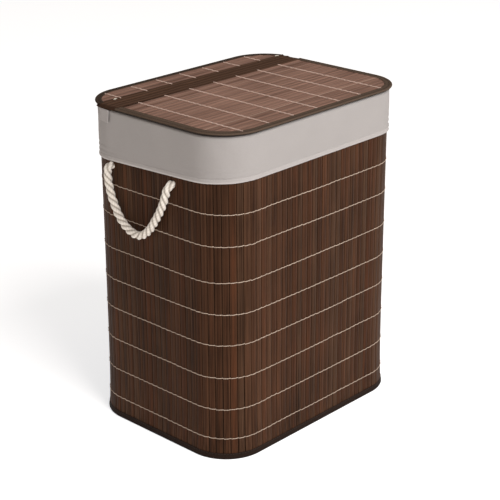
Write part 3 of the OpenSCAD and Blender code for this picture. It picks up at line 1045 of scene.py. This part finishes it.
class HAMPER_OT_wall(bpy.types.Operator):
    """Stands the slats of the wall on the cloth that they are glued to"""

    bl_idname = "hamper.wall"
    bl_label = "Wall slats and backing"

    NAMES = ("right", "back_right_corner", "back", "back_left_corner", "left",
             "front_left_corner", "front", "front_right_corner")
    THICK = 1.8 * MM
    # heights where a slat is cut across, so that it can follow the wall's flare
    BENDS = (0.022, 0.04, 0.065, 0.10, 0.18, 0.30, 0.42, 0.53, 0.60)
    # faces further out than this are on an end, and a hole's cuts reach this far up and down
    END_X = 0.2
    CUT_REACH = 0.15

    def execute(self, context):
        low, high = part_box("front_slats")
        self.low, self.tall = low.z, high.z - low.z
        rng = random.Random(5)
        for side, name in zip(Outline.SIDES, self.NAMES):
            bm = self.slats(side, rng)
            self.drill(bm, name)
            piece(bm, f"{name}_wall_slats", "root", "wall_wood",
                  (f"{name}_slats",), sharp=50)
        self.backing()
        return {"FINISHED"}

    def slats(self, side, rng):
        """The slats of one side, each with its own width, lean, twist and depth."""
        s = sizes()
        run, start = BODY.run_of(side), BODY.start_of(side)
        count = round(run / s.slat_pitch)
        step = run / count
        mesh = slat_shape(self.tall, step - s.slat_gap, self.THICK,
                          [bend - self.low for bend in self.BENDS])
        bm = new_mesh()
        splits = [(i + rng.uniform(-0.085, 0.085)) * step for i in range(1, count)]
        edges = [0.0, *splits, run]
        for left, right in zip(edges, edges[1:]):
            lean, proud = rng.uniform(-0.2, 0.2) * MM, rng.uniform(-0.18, 0.14) * MM
            twist = rng.uniform(-0.012, 0.012)
            width = right - left - rng.uniform(0.75, 1.25) * s.slat_gap
            narrow = width / (step - s.slat_gap)
            point, out, on = BODY.at(start + (left + right) / 2)

            def shape(p, point=point, out=out, on=on, lean=lean, proud=proud, twist=twist,
                      narrow=narrow):
                z = self.low + p.z
                along = Vector((-out.y, out.x))
                share = p.z / self.tall
                spread = 1 + 0.02 * math.exp(-z / FLARE_HEIGHT)
                y = p.y * narrow * spread + lean * (share - 0.5) * 2
                x = p.x + proud + twist * p.y + wall_shift(point, on, z)
                place = point + out * x + along * y
                return Vector((place.x, place.y, z))

            # the wall slats' edges take 0.65 of the painted edge highlight
            lay_slat(bm, mesh, shape, rng, edge_highlight=0.65)
        bpy.data.meshes.remove(mesh)
        return bm

    def drill(self, bm, name):
        """Opens the slats that a rope passes through."""
        if "right" not in name and "left" not in name:
            return
        end = "left" if "left" in name else "right"
        sign = -1 if end == "left" else 1
        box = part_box(f"{end}_rope_ends")
        hole_z, reach = (box[0].z + box[1].z) / 2, ROPE_R * 0.86
        cuts = 8

        def near(face, y, tall):
            middle = face.calc_center_median()
            return (sign * middle.x > self.END_X and abs(middle.y - y) < HOLES_APART
                    and abs(middle.z - hole_z) < tall)

        for y in rows_of(f"{end}_rope_ends", 1, HOLES_APART):
            if not any(near(f, y, self.tall) for f in bm.faces):
                continue
            for k in range(cuts):
                angle = TAU * k / cuts
                normal = Vector((0, math.cos(angle), math.sin(angle)))
                centre = Vector((0, y, hole_z)) + normal * reach
                geom = {g for f in bm.faces if near(f, y, self.CUT_REACH)
                        for g in (*f.verts, *f.edges, f)}
                bmesh.ops.bisect_plane(bm, geom=list(geom), plane_co=centre, plane_no=normal)
            gone = []
            for f in bm.faces:
                middle = f.calc_center_median()
                if (sign * middle.x > self.END_X
                        and math.hypot(middle.y - y, middle.z - hole_z) < reach * 0.97
                        and all(math.hypot(v.co.y - y, v.co.z - hole_z) < reach * 1.12
                                for v in f.verts)):
                    gone.append(f)
            bmesh.ops.delete(bm, geom=gone, context="FACES")

    def backing(self):
        low, top = (corner.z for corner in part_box("wall_backing"))
        bm = new_mesh()
        surface(bm, 180, 16,
                lambda u, v: on_wall(u * BODY.length, -2.3 * MM, mix(low, top, v ** 1.5)),
                (BODY.length, top - low))
        cloth = piece(bm, "wall_backing_cloth", "root", "dark_tape",
                      ("wall_backing",), thick=0.7 * MM, outward=False)


class HAMPER_OT_wall_threads(bpy.types.Operator):
    """Weaves the rows of thread across the slats of the wall"""

    bl_idname = "hamper.wall_threads"
    bl_label = "Wall threads"

    # over one slat: (share of its width, out from its face and share of the rise, in mm)
    OVER_SLAT = ((0.06, -0.25, -0.5), (0.25, 0.62, -0.25), (0.5, 0.86, 0.0),
                 (0.75, 0.66, 0.25), (0.94, -0.2, 0.5))
    RISE = 0.9

    def execute(self, context):
        s = sizes()
        rng = random.Random(11)
        gaps = []
        for side in Outline.SIDES:
            run = BODY.run_of(side)
            count = round(run / s.slat_pitch)
            gaps += [BODY.start_of(side) + k * run / count for k in range(count)]
        bm = new_mesh()
        for row in rows_of("wall_threads", 2, 0.01):
            line = []
            wander = rng.uniform(0, 50)
            step_now = 0.0
            for i, start in enumerate(gaps):
                end = gaps[i + 1] if i + 1 < len(gaps) else BODY.length
                if rng.random() < 0.22:
                    step_now = rng.uniform(-0.6, 0.6) * MM
                slow = 0.8 * MM * noisy(start * 4.0, wander)
                for share, off, rise in self.OVER_SLAT:
                    line.append(on_wall(mix(start, end, share), off * MM,
                                        row + step_now + slow + rise * self.RISE * MM))
            tube(bm, line, uneven(s.thread / 2), 6, closed=True)
        piece(bm, "wall_thread_rows", "root", "thread", ("wall_threads",), sharp=80)
        return {"FINISHED"}


# ---------- base ----------


def ease_out(v):
    """From 0 to 1, quick at first and slow at the end."""
    return math.sin(v * math.pi / 2)


def plate_cloth(bm, outline, inset, y_low, y_high, z, rows, columns, ripple):
    """A flat cloth inside the outline between two depths, its rows as wide as it is there.
    The rows crowd together where the outline turns."""
    half = outline.along / 2

    def share_of(v):
        if y_low < -half and y_high > half:
            return 0.5 - 0.5 * math.cos(math.pi * v)
        if y_low > -half:
            return v if y_high <= half else ease_out(v)
        return 1 - ease_out(1 - v)

    def place(u, v):
        y = mix(y_low, y_high, share_of(v))
        wide = outline.half_width(y, inset)
        x = mix(-wide, wide, u)
        return Vector((x, y, z + ripple * noisy(x * 14, y * 14, z * 9)))

    surface(bm, columns, rows, place, (outline.width, y_high - y_low), merge=0)


class HAMPER_OT_base(bpy.types.Operator):
    """Binds the foot of the wall and closes the base"""

    bl_idname = "hamper.base"
    bl_label = "Base"

    def execute(self, context):
        self.binding()
        self.underside()
        bm = new_mesh()
        ring = [on_wall(BODY.length * i / 360, -1.1 * MM, 3.4 * MM) for i in range(360)]
        tube(bm, ring, lambda angle, way: 1.3 * MM, 8, closed=True)
        piece(bm, "base_hoop_wire", "root", "wire", ("base_wire",))
        for node, material in (("rim_wire", "wire"), ("base_board", "board"),
                               ("rim_binding", "tape")):
            paint_node(node, material)
        return {"FINISHED"}

    def binding(self):
        """The tape folded round the foot, and its row of stitches."""
        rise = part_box("base_binding")[1].z
        # (out from the slats' faces, height), in mm
        section = [
            (-3.6, rise / MM - 0.6), (-3.6, 6.0), (-3.9, 3.4), (-3.2, 1.2), (-1.9, 0.15),
            (-0.2, 0.0), (1.0, 0.5), (1.75, 1.9), (1.75, 4.2), (1.2, 6.4), (0.95, 9.4),
            (1.0, rise / MM - 0.8), (0.75, rise / MM - 0.1), (0.35, rise / MM - 0.5),
            (0.25, rise / MM - 3.0),
        ]

        def place(u, v):
            off, z = section[round(v * len(section)) % len(section)]
            way = (u % 1.0) * BODY.length
            pucker = 0.16 * noisy(way * 95, z * 0.3) + 0.12 * noisy(way * 260, z * 0.5, 3)
            share = min(z / 6.0, 1.0) if off > -1 else 0.0
            if z > rise / MM - 4 and off > 0:
                z += 0.35 * noisy(way * 60, 9)
            return on_wall(way, (off + pucker * share) * MM, z * MM)

        bm = new_mesh()
        surface(bm, 420, len(section), place, (BODY.length, 0.04), merge=4e-6)
        piece(bm, "base_binding_tape", "root", "base_tape", ("base_binding",),
              sharp=60)
        bm = new_mesh()
        pitch = sizes().stitch_pitch
        path = [(on_wall(way, 1.0 * MM, rise - 2.2 * MM), forward, out)
                for way, _, forward, out in along_wall(int(BODY.length / pitch))]
        stitches(bm, path, pitch, 0.55 * MM, 0.5 * MM, 0.05 * MM)
        piece(bm, "base_stitches", "root", "stitch", sharp=80)

    def underside(self):
        low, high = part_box("base_cloth")
        inset = BODY.width / 2 - high.x
        bm = new_mesh()
        reach = high.y - 0.3 * MM
        plate_cloth(bm, BODY, inset, -reach, reach, (low.z + high.z) / 2, 40, 40, 0.5 * MM)
        cloth = piece(bm, "base_underside_cloth", "root", "base_tape",
                      ("base_cloth",), thick=0.8 * MM, outward=False)


# ---------- liner ----------


def cuff_edge(point):
    """The height of the cuff's lower edge at that place."""
    return CUFF_EDGE_Z + 0.0037 * point.x - sizes().cuff_slope * point.y


class HAMPER_OT_liner(bpy.types.Operator):
    """Hangs the liner, turns its cuff down over the rim and hems it"""

    bl_idname = "hamper.liner"
    bl_label = "Liner, cuff and hem"

    # rows of points up the inside: how far apart below, round the knots and above them
    LOW_ROWS, KNOT_ROWS, HIGH_ROWS = 0.016, 0.0055, 0.013
    KNOTS_FROM, KNOTS_TO = 0.48, 0.597
    # rows over the fold and down the cuff, and how much cloth the cuff takes
    FOLD_ROWS, CUFF_ROWS = 8, 40
    CUFF_DROP = 0.094
    # the most that the cloth may sag outwards
    SAG_LIMIT = 2.2 * MM
    # the hem's section: (out from the slats' faces, above the cuff's edge), in mm
    HEM = ((2.1, 0.3), (2.7, -0.1), (3.4, 0.15), (3.75, 1.2), (3.75, 4.2), (3.75, 7.4),
           (3.45, 8.6), (2.9, 9.2), (2.3, 9.0), (2.1, 5.0))
    HEM_TALL = 9.3 * MM

    def execute(self, context):
        low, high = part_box("liner_bag")
        self.floor_z = low.z
        self.cuff_out = high.x - BODY.width / 2 - 0.4 * MM
        self.inner = -6.6 * MM
        self.fold_r = (self.cuff_out - self.inner) / 2
        self.fold_mid = (self.cuff_out + self.inner) / 2
        self.fold_z = high.z - 0.4 * MM - self.fold_r
        self.knots = [
            (end, y, (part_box(f"{name}_rope_ends")[0].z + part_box(f"{name}_rope_ends")[1].z) / 2)
            for end, name in ((-1, "left"), (1, "right"))
            for y in rows_of(f"{name}_rope_ends", 1, HOLES_APART)
        ]
        self.bag()
        self.hem()
        self.floor()
        return {"FINISHED"}

    def bag(self):
        stations = [self.floor_z + k * self.LOW_ROWS
                    for k in range(round(self.KNOTS_FROM / self.LOW_ROWS) + 1)]
        z = stations[-1]
        while z < self.KNOTS_TO:
            z += self.KNOT_ROWS
            stations.append(z)
        while z + self.HIGH_ROWS + 1 * MM < self.fold_z:
            z += self.HIGH_ROWS
            stations.append(z)
        inside, turns, down = len(stations), self.FOLD_ROWS, self.CUFF_ROWS
        total = inside + turns + down
        drape = self.fold_z - self.floor_z + math.pi * self.fold_r + self.CUFF_DROP

        def place(u, v):
            k = round(v * total)
            way = (u % 1.0) * BODY.length
            point, out, _ = BODY.at(way)
            if k < inside:
                z = stations[k]
                hang = math.sin(math.pi * (z - self.floor_z) / (self.fold_z - self.floor_z))
                slack = hang * (
                    2.2 * noisy(way * 13, z * 3.0) + 1.6 * noisy(way * 34, z * 5.0, 7)
                    + 0.6 * noisy(way * 80, z * 24, 2)
                ) * MM
                offset = self.inner + min(slack, self.SAG_LIMIT) - self.pocket(point, out, z)
            elif k <= inside + turns:
                angle = math.pi * (1 - (k - inside) / turns)
                offset = self.fold_mid + self.fold_r * math.cos(angle)
                z = self.fold_z + self.fold_r * math.sin(angle)
                offset += 0.18 * MM * noisy(way * 60, 3.3)
            else:
                share = (k - inside - turns) / down
                bottom = cuff_edge(point) + 1.5 * MM
                z = mix(self.fold_z, bottom, share)
                offset = self.cuff_out + self.crease(way, point, z, share)
            spot = point + out * offset
            return Vector((spot.x, spot.y, z))

        bm = new_mesh()
        surface(bm, 400, total, place, (BODY.length, drape))
        cloth = piece(bm, "liner_cloth", "root", "lining", ("liner_bag",),
                      thick=0.8 * MM, outward=False, sharp=80)

    def crease(self, way, point, z, share):
        """Soft folds on the cuff, deepest where it goes round a corner."""
        slack = sizes().cloth_slack
        fold = noisy(way * 11, z * 5) * 0.9 + noisy(way * 30, z * 9, 4) * 0.5
        fold += 0.22 * noisy(way * 90, z * 60, 8)
        from_end = (abs(point.x) - BODY.width / 2 + 0.03) / 0.05
        from_face = (abs(point.y) - BODY.depth / 2 + 0.03) / 0.06
        corner = math.exp(-from_end ** 2) * math.exp(-from_face ** 2)
        slant = math.sin(way * 130 + z * 90) * corner * 0.35
        wrinkle = (math.sin(z * 640 + 6 * noisy(way * 9, z * 8, 6)) * corner
                   * ease((share - 0.6) / 0.25))
        puckers = 0.16 * math.sin(way * 620 + 3 * noisy(way * 20)) * ease((share - 0.8) / 0.2)
        hang = 0.35 + 0.65 * math.sin(math.pi * min(share * 1.15, 1))
        return slack * (fold * hang + slant + wrinkle + puckers)

    def pocket(self, point, out, z):
        """How far a knot pushes the cloth in."""
        push = 0.0
        for end, y, hole_z in self.knots:
            if end * point.x > 0 and end * out.x > 0.5:
                away = math.hypot(point.y - y, z - hole_z)
                push = max(push, 22.5 * MM * (1 - ease((away - 15.5 * MM) / (24 * MM))))
        return push

    def hem(self):
        low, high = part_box("cuff_hem")
        tall = high.z - low.z + 0.4 * MM
        count = len(self.HEM)

        def place(u, v):
            off, rise = self.HEM[round(v * count) % count]
            way = (u % 1.0) * BODY.length
            point, out, _ = BODY.at(way)
            z = cuff_edge(point) + rise * MM * tall / self.HEM_TALL
            off = off * MM + self.crease(way, point, z, 1 - rise * MM / self.CUFF_DROP)
            off += 0.10 * MM * noisy(way * 170, rise)
            spot = point + out * off
            return Vector((spot.x, spot.y, z + 0.3 * MM * noisy(way * 24, 5)))

        bm = new_mesh()
        surface(bm, 400, count, place, (BODY.length, 0.022), merge=4e-6)
        # painted highlight on the hem's lowest fold, strong on the left end and faint elsewhere
        edge = bm.verts.layers.float["edge"]
        for v in bm.verts:
            lowest = ease((cuff_edge(v.co) + 2.2 * MM - v.co.z) / (1.2 * MM))
            v[edge] = lowest * mix(0.95, 0.15, ease((v.co.x + 0.27) / 0.09))
        piece(bm, "cuff_hem_strip", "root", "hem", ("cuff_hem",), sharp=60)
        bm = new_mesh()
        pitch = sizes().stitch_pitch * 0.8
        path = []
        for way, point, forward, out in along_wall(int(BODY.length / pitch)):
            z = cuff_edge(point) + 7.6 * MM
            off = 3.78 * MM + self.crease(way, point, z, 0.92)
            spot = point + out.xy * off
            path.append((Vector((spot.x, spot.y, z)), forward, out))
        stitches(bm, path, pitch, 0.45 * MM, 0.4 * MM, 0.0)
        piece(bm, "hem_stitches", "root", "pale_stitch", sharp=80)

    def floor(self):
        low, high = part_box("liner_floor")
        inset = BODY.width / 2 - high.x
        bm = new_mesh()
        reach = high.y - 0.3 * MM
        z = (low.z + high.z) / 2 + 0.6 * MM
        plate_cloth(bm, BODY, inset, -reach, reach, z, 60, 60, 1.1 * MM)
        cloth = piece(bm, "liner_floor_cloth", "root", "lining",
                      ("liner_floor",), thick=0.8 * MM, outward=False)


class HAMPER_OT_tabs(bpy.types.Operator):
    """Hangs the cloth tab under each end of the lid's hinge"""

    bl_idname = "hamper.tabs"
    bl_label = "Cloth tabs"

    def execute(self, context):
        for end, name in ((-1, "left"), (1, "right")):
            low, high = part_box(f"{name}_lid_tab")
            start = BODY.start_of(2) if end < 0 else BODY.start_of(0)

            def place(u, v, end=end, start=start, low=low, high=high):
                y = mix(low.y + 0.5 * MM, high.y, u)
                z = mix(high.z - 0.2 * MM, low.z, v)
                point, out, _ = BODY.at(start + BODY.along / 2 + end * y)
                curl = 0.9 * MM * v * v + 0.35 * MM * noisy(y * 90, z * 60, end)
                curl += 2.4 * MM * ease((0.45 - u) / 0.45) * (0.3 + 0.7 * v)
                spot = point + out * (4.9 * MM + curl)
                return Vector((spot.x, spot.y, z - 0.8 * MM * math.sin(math.pi * u) * v))

            bm = new_mesh()
            surface(bm, 16, 12, place, (high.y - low.y, high.z - low.z), merge=0)
            tab = piece(bm, f"{name}_tab", "root", "hem",
                        (f"{name}_lid_tab",), thick=0.8 * MM, outward=False)
        return {"FINISHED"}


# ---------- lid ----------


class HAMPER_OT_lid(bpy.types.Operator):
    """Lays the slats, the threads and the under-cloth of the flap and the rear strip"""

    bl_idname = "hamper.lid"
    bl_label = "Lid panels"

    # slats' edges that carry a pale line: (depth, 1 for none to 2 for the palest)
    PALE_LINE_EDGES = ((-0.126, 2.0), (0.043, 1.55), (0.076, 1.45))
    # a thread over one slat: (share of its width, above its face in mm, slant)
    OVER_SLAT = ((0.04, 0.45, -0.2), (0.25, 0.78, -0.1), (0.5, 0.9, 0), (0.75, 0.78, 0.1),
                 (0.96, 0.45, 0.2))
    BENDS = 9

    def execute(self, context):
        rng = random.Random(23)
        for part, body in (("rear_strip", "root"), ("flap", "flap")):
            self.slats(part, body, rng)
            self.threads(part, body)
            self.under_cloth(part, body)
        return {"FINISHED"}

    def slats(self, part, body, rng):
        low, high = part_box(f"{part}_slats")
        inset = (LID.width - (high.x - low.x)) / 2
        count = round((high.y - low.y) / sizes().slat_pitch)
        step = (high.y - low.y + SLAT_GAP) / count
        thick = high.z - low.z
        reach = high.x
        cuts = [reach * 2 * k / self.BENDS for k in range(1, self.BENDS)]
        mesh = slat_shape(2 * reach, step - sizes().slat_gap, thick, cuts)
        bm = new_mesh()
        for i in range(count):
            middle = low.y + (i + 0.5) * step - SLAT_GAP / 2
            lean, proud = rng.uniform(-0.25, 0.25) * MM, rng.uniform(-0.12, 0.12) * MM
            wave = rng.uniform(0, 20)

            def shape(p, middle=middle, lean=lean, proud=proud, wave=wave):
                share = p.z / reach - 1
                y = middle + p.y + lean * share
                x = share * LID.half_width(min(max(y, low.y), high.y), inset)
                z = high.z + p.x + proud + 0.22 * MM * noisy(x * 6, wave)
                return Vector((x, y, z))

            before = len(bm.verts)
            # the lid slats' edges take half the painted edge highlight
            lay_slat(bm, mesh, shape, rng, edge_highlight=0.5)
            # a pale line along the back edge of the slats at those depths
            for y, pale_line in self.PALE_LINE_EDGES:
                if abs(middle + step / 2 - y) < step / 2:
                    edge = bm.verts.layers.float["edge"]
                    for v in bm.verts[before:]:
                        if v.co.y > middle + step * 0.3:
                            v[edge] = pale_line
        # the lid's slats take the wood with painted top light
        piece(bm, f"{part}_lid_slats", body, "lid_wood",
              (f"{part}_slats",), sharp=50)
        bpy.data.meshes.remove(mesh)
        self.edges = [low.y + k * step - SLAT_GAP / 2 for k in range(count + 1)]

    def threads(self, part, body):
        low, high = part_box(f"{part}_threads")
        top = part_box(f"{part}_slats")[1].z
        bm = new_mesh()
        radius = sizes().thread * 0.8
        start = low.y - 6 * MM if part == "flap" else STRIP_Y + 0.5 * MM
        end = BAND_Y - 0.5 * MM if part == "flap" else high.y + 6 * MM
        for x in rows_of(f"{part}_threads", 0, 0.01):
            line = []
            # the rows bow slightly to the left
            x -= 0.0015 + 0.15 * x * x
            for a, b in zip(self.edges, self.edges[1:]):
                for share, off, slant in self.OVER_SLAT:
                    y = mix(a, b, share)
                    if start < y < end:
                        drift = 0.8 * MM * noisy(y * 9, x * 31)
                        line.append(Vector((x + drift + slant * 0.4 * MM, y, top + off * MM)))
            tube(bm, line, uneven(radius), 6)
        close_ends(bm)
        piece(bm, f"{part}_thread_rows", body, "lid_thread",
              (f"{part}_threads",), sharp=80)

    def under_cloth(self, part, body):
        low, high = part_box(f"{part}_backing")
        inset = (LID.width - (high.x - low.x)) / 2
        bm = new_mesh()
        plate_cloth(bm, LID, inset, low.y + 0.1 * MM, high.y - 0.1 * MM,
                    (low.z + high.z) / 2, 36, 40, 0.3 * MM)
        cloth = piece(bm, f"{part}_under_cloth", body, "tape",
                      (f"{part}_backing",), thick=0.7 * MM, outward=False)


class HAMPER_OT_lid_binding(bpy.types.Operator):
    """Sews the piped binding round the flap and the rear strip"""

    bl_idname = "hamper.lid_binding"
    bl_label = "Lid binding"

    # (out from the lid's edge, height) in mm, drawn for a lid whose top is at this height
    TOP = 655 * MM
    SECTION = (
        (-18.6, 653.5), (-18.6, 654.0), (-17.6, 654.35), (-13.0, 654.3), (-9.4, 654.1),
        (-7.7, 653.7), (-6.8, 654.1), (-5.6, 654.75), (-4.2, 655.0), (-2.8, 654.65),
        (-1.8, 653.8), (-1.35, 652.6), (-1.7, 651.4), (-2.7, 650.6), (-4.2, 650.25),
        (-5.8, 650.2), (-7.4, 649.9), (-9.4, 649.65), (-13.0, 649.65), (-17.6, 649.7),
        (-18.6, 650.0), (-18.6, 650.5),
    )

    def execute(self, context):
        lift = LID_BOX[1].z - self.TOP
        front = LID.start_of(2) + (LID.along / 2 - BAND_Y)
        front_end = LID.length + (BAND_Y + LID.along / 2)
        self.bind("flap", "flap", front, front_end, lift, None)
        angle = math.asin((STRIP_Y - LID.along / 2) / LID.radius)
        rear = LID.start_of(0.5) + LID.radius * angle
        rear_end = LID.start_of(1.5) + LID.turn - LID.radius * angle
        self.bind("rear_strip", "root", rear - 8 * MM, rear_end + 8 * MM, lift, STRIP_Y)
        return {"FINISHED"}

    def bind(self, part, body, start, end, lift, cut):
        """The binding from start to end round the lid, cut off in front of that depth."""
        run = end - start
        steps = round(run / (4.2 * MM))
        count = len(self.SECTION)

        def place(u, v):
            off, z = self.SECTION[round(v * count) % count]
            way = start + run * u
            leg = 1.0 if off < -8 else 0.0
            if off < -10:
                lean = LID.at(way)[1].x
                off = min(off + (3.5 if lean > 0 else 1.5) * lean, -9.8)
            pucker = leg * (0.22 * noisy(way * 120, off * 0.4)
                            + 0.12 * noisy(way * 330, off, 2))
            piping = (1 - leg) * 0.14 * noisy(way * 70, off * 0.7, 5)
            inner = 0.5 * noisy(way * 45, 11) if off < -17 else 0.0
            if cut is not None and off < -8:
                off = mix(-8.0, -13.5, (-8.0 - off) / 10.6)
            spot = on_lid(way, (off + inner + piping) * MM, (z + pucker) * MM + lift)
            if cut is not None:
                spot.y = max(spot.y, cut + 0.05 * MM)
            return spot

        bm = new_mesh()
        surface(bm, steps, count, place, (run, 0.055), merge=4e-6)
        close_ends(bm)
        edge = bm.verts.layers.float["edge"]
        # painted shadow on the binding's underside below 653 mm; the rear strip's binding is darkened all
        # over as well
        for v in bm.verts:
            v[edge] = max(0.95 * ease((653.0 * MM + lift - v.co.z) / (1.6 * MM)),
                          0.0 if cut is None else 0.6)
        piece(bm, f"{part}_binding_tape", body, "tape",
              (f"{part}_binding",), sharp=60)
        bm = new_mesh()
        ring = [on_lid(start + run * (i + 0.5) / steps, -4.2 * MM, 652.6 * MM + lift)
                for i in range(steps)]
        if cut is not None:
            ring = [Vector((p.x, max(p.y, cut + 1.7 * MM), p.z)) for p in ring]
        tube(bm, ring, lambda angle, way: 1.4 * MM, 8)
        close_ends(bm)
        piece(bm, f"{part}_piping_wire", body, "wire", (f"{part}_wire",))
        self.sew(part, body, start, run, lift, cut)

    def sew(self, part, body, start, run, lift, cut):
        """Two rows of stitches on top of the binding and one under it."""
        pitch = sizes().stitch_pitch
        number = int(run / pitch)
        inner = -16.6 if cut is None else -12.6
        upper, under = [], []
        for i in range(number):
            way = start + run * (i + 0.5) / number
            out = LID.at(way)[1]
            forward = Vector((-out.y, out.x, 0))
            for row, off, z, up in ((upper, inner, 654.35, 1), (upper, -8.4, 654.35, 1),
                                    (under, inner, 649.6, -1)):
                spot = on_lid(way, off * MM, z * MM + lift)
                if cut is None or spot.y > cut + 2 * MM:
                    row.append((spot, forward, Vector((0, 0, up))))
        bm = new_mesh()
        stitches(bm, upper + under, pitch, 0.55 * MM, 0.45 * MM, 0.0)
        piece(bm, f"{part}_stitches", body, "stitch", sharp=80)


class HAMPER_OT_hinge(bpy.types.Operator):
    """Lays the cloth band that the lid folds on, and its tacks"""

    bl_idname = "hamper.hinge"
    bl_label = "Hinge band and tacks"

    # (back from the band's front edge, height), in mm, and how wide that is
    SECTION = (
        (0.4, 653.6), (0.2, 654.2), (1.4, 654.75), (5.0, 654.6), (12.0, 654.2),
        (19.0, 653.9), (25.0, 653.7), (28.5, 653.9), (30.6, 654.6), (32.6, 655.0),
        (34.6, 654.8), (36.2, 654.3), (39.0, 653.9), (43.0, 654.0), (46.4, 654.3),
        (47.4, 654.0), (47.4, 653.2), (44.0, 652.6), (36.0, 651.6), (28.0, 651.2),
        (18.0, 651.8), (8.0, 652.6),
    )
    WIDE = 47.4
    # the band's ends turn down over this length, and it stays below this height
    END_TURN = 5 * MM
    CEILING = 655.75 * MM
    # how far the band laps over the strip behind it and the flap before it, together
    LAP = 8.0 * MM

    def execute(self, context):
        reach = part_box("hinge_band")[1].x - 2.6 * MM
        count = len(self.SECTION)

        def place(u, v):
            across, z = self.SECTION[round(v * count) % count]
            x = mix(-reach, reach, u)
            y = BAND_Y + across * MM - 0.011 * (x + reach) * (1 - across / self.WIDE)
            y += (4.5 * MM - 0.008 * x) * ease((across - 36) / 11)
            to_end = reach - abs(x)
            drop = 0.0
            if to_end < self.END_TURN:
                past = 1 - to_end / self.END_TURN
                drop = 3.8 * MM * (1 - math.sqrt(max(0.0, 1 - past ** 2)))
            ripple = (0.35 * noisy(x * 26, across * 0.2)
                      + 0.22 * noisy(x * 75, across * 0.35, 4)) * MM
            edge = 0.5 * MM * noisy(x * 40, 2 if across < 10 else 6)
            if across < 1.5 or across > 46:
                y += edge
            ripple *= ease((to_end - 4 * MM) / (12 * MM))
            squeeze = ripple * (0.4 + 0.6 * math.sin(math.pi * min(max(across / 47, 0), 1)))
            return Vector((x, y, min(z * MM + squeeze - drop, self.CEILING)))

        bm = new_mesh()
        surface(bm, 150, count, place, (2 * reach, 0.1), merge=4e-6)
        close_ends(bm)
        edge = bm.verts.layers.float["edge"]
        for v in bm.verts:
            v[edge] = ease((abs(v.co.x) - reach + 11 * MM) / (8 * MM))
        band = piece(
            bm, "hinge_band_cloth", None, "band", ("hinge_band",), sharp=60,
            blend=("root", "flap", (0, STRIP_Y + 0.5 * MM, 0), (0, BAND_Y, 0)),
        )
        self.tacks()
        return {"FINISHED"}

    def tacks(self):
        """Four turns of thread at each end of the band."""
        bm = new_mesh()
        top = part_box("band_tacks")[1].z
        for centre, turn in ((Vector((-0.216, STRIP_Y + 2 * MM, top)), 0.35),
                             (Vector((0.240, STRIP_Y + 1 * MM, top)), -0.3)):
            way = Vector((math.cos(turn), math.sin(turn), 0))
            side = Vector((-way.y, way.x, 0))
            for k in range(4):
                middle = centre + side * (k - 1.5) * 1.0 * MM + Vector((0, 0, 0.3 * MM))
                line = [middle + way * t * 4.2 * MM + Vector((0, 0, 0.7 * MM * (1 - t * t)))
                        for t in (-1, -0.6, -0.2, 0.2, 0.6, 1)]
                tube(bm, line, lambda angle, way: 0.6 * MM, 8)
        close_ends(bm)
        piece(bm, "band_tack_threads", "root", "tack", ("band_tacks",), sharp=80)


# ---------- panel and registration ----------

OPERATORS = (
    HAMPER_OT_stage, HAMPER_OT_ropes, HAMPER_OT_wall, HAMPER_OT_wall_threads, HAMPER_OT_base,
    HAMPER_OT_liner, HAMPER_OT_tabs, HAMPER_OT_lid, HAMPER_OT_lid_binding, HAMPER_OT_hinge,
)


class HAMPER_PT_panel(bpy.types.Panel):
    """Lists the parts of the hamper and its sizes and colours"""

    bl_idname = "HAMPER_PT_panel"
    bl_label = "Slatted hamper"
    bl_space_type = "VIEW_3D"
    bl_region_type = "UI"
    bl_category = "Hamper"

    def draw(self, context):
        for operator in OPERATORS:
            self.layout.operator(operator.bl_idname)
        for group in (context.scene.hamper_sizes, context.scene.hamper_colours):
            for name in group.__annotations__:
                self.layout.prop(group, name)


CLASSES = (HamperSizes, HamperColours, *OPERATORS, HAMPER_PT_panel)


def register():
    for cls in CLASSES:
        bpy.utils.register_class(cls)
    bpy.types.Scene.hamper_sizes = bpy.props.PointerProperty(type=HamperSizes)
    bpy.types.Scene.hamper_colours = bpy.props.PointerProperty(type=HamperColours)


def unregister():
    del bpy.types.Scene.hamper_colours
    del bpy.types.Scene.hamper_sizes
    for cls in reversed(CLASSES):
        bpy.utils.unregister_class(cls)


def main():
    register()
    for operator in OPERATORS:
        group, name = operator.bl_idname.split(".")
        getattr(getattr(bpy.ops, group), name)()


if __name__ == "__main__":
    main()
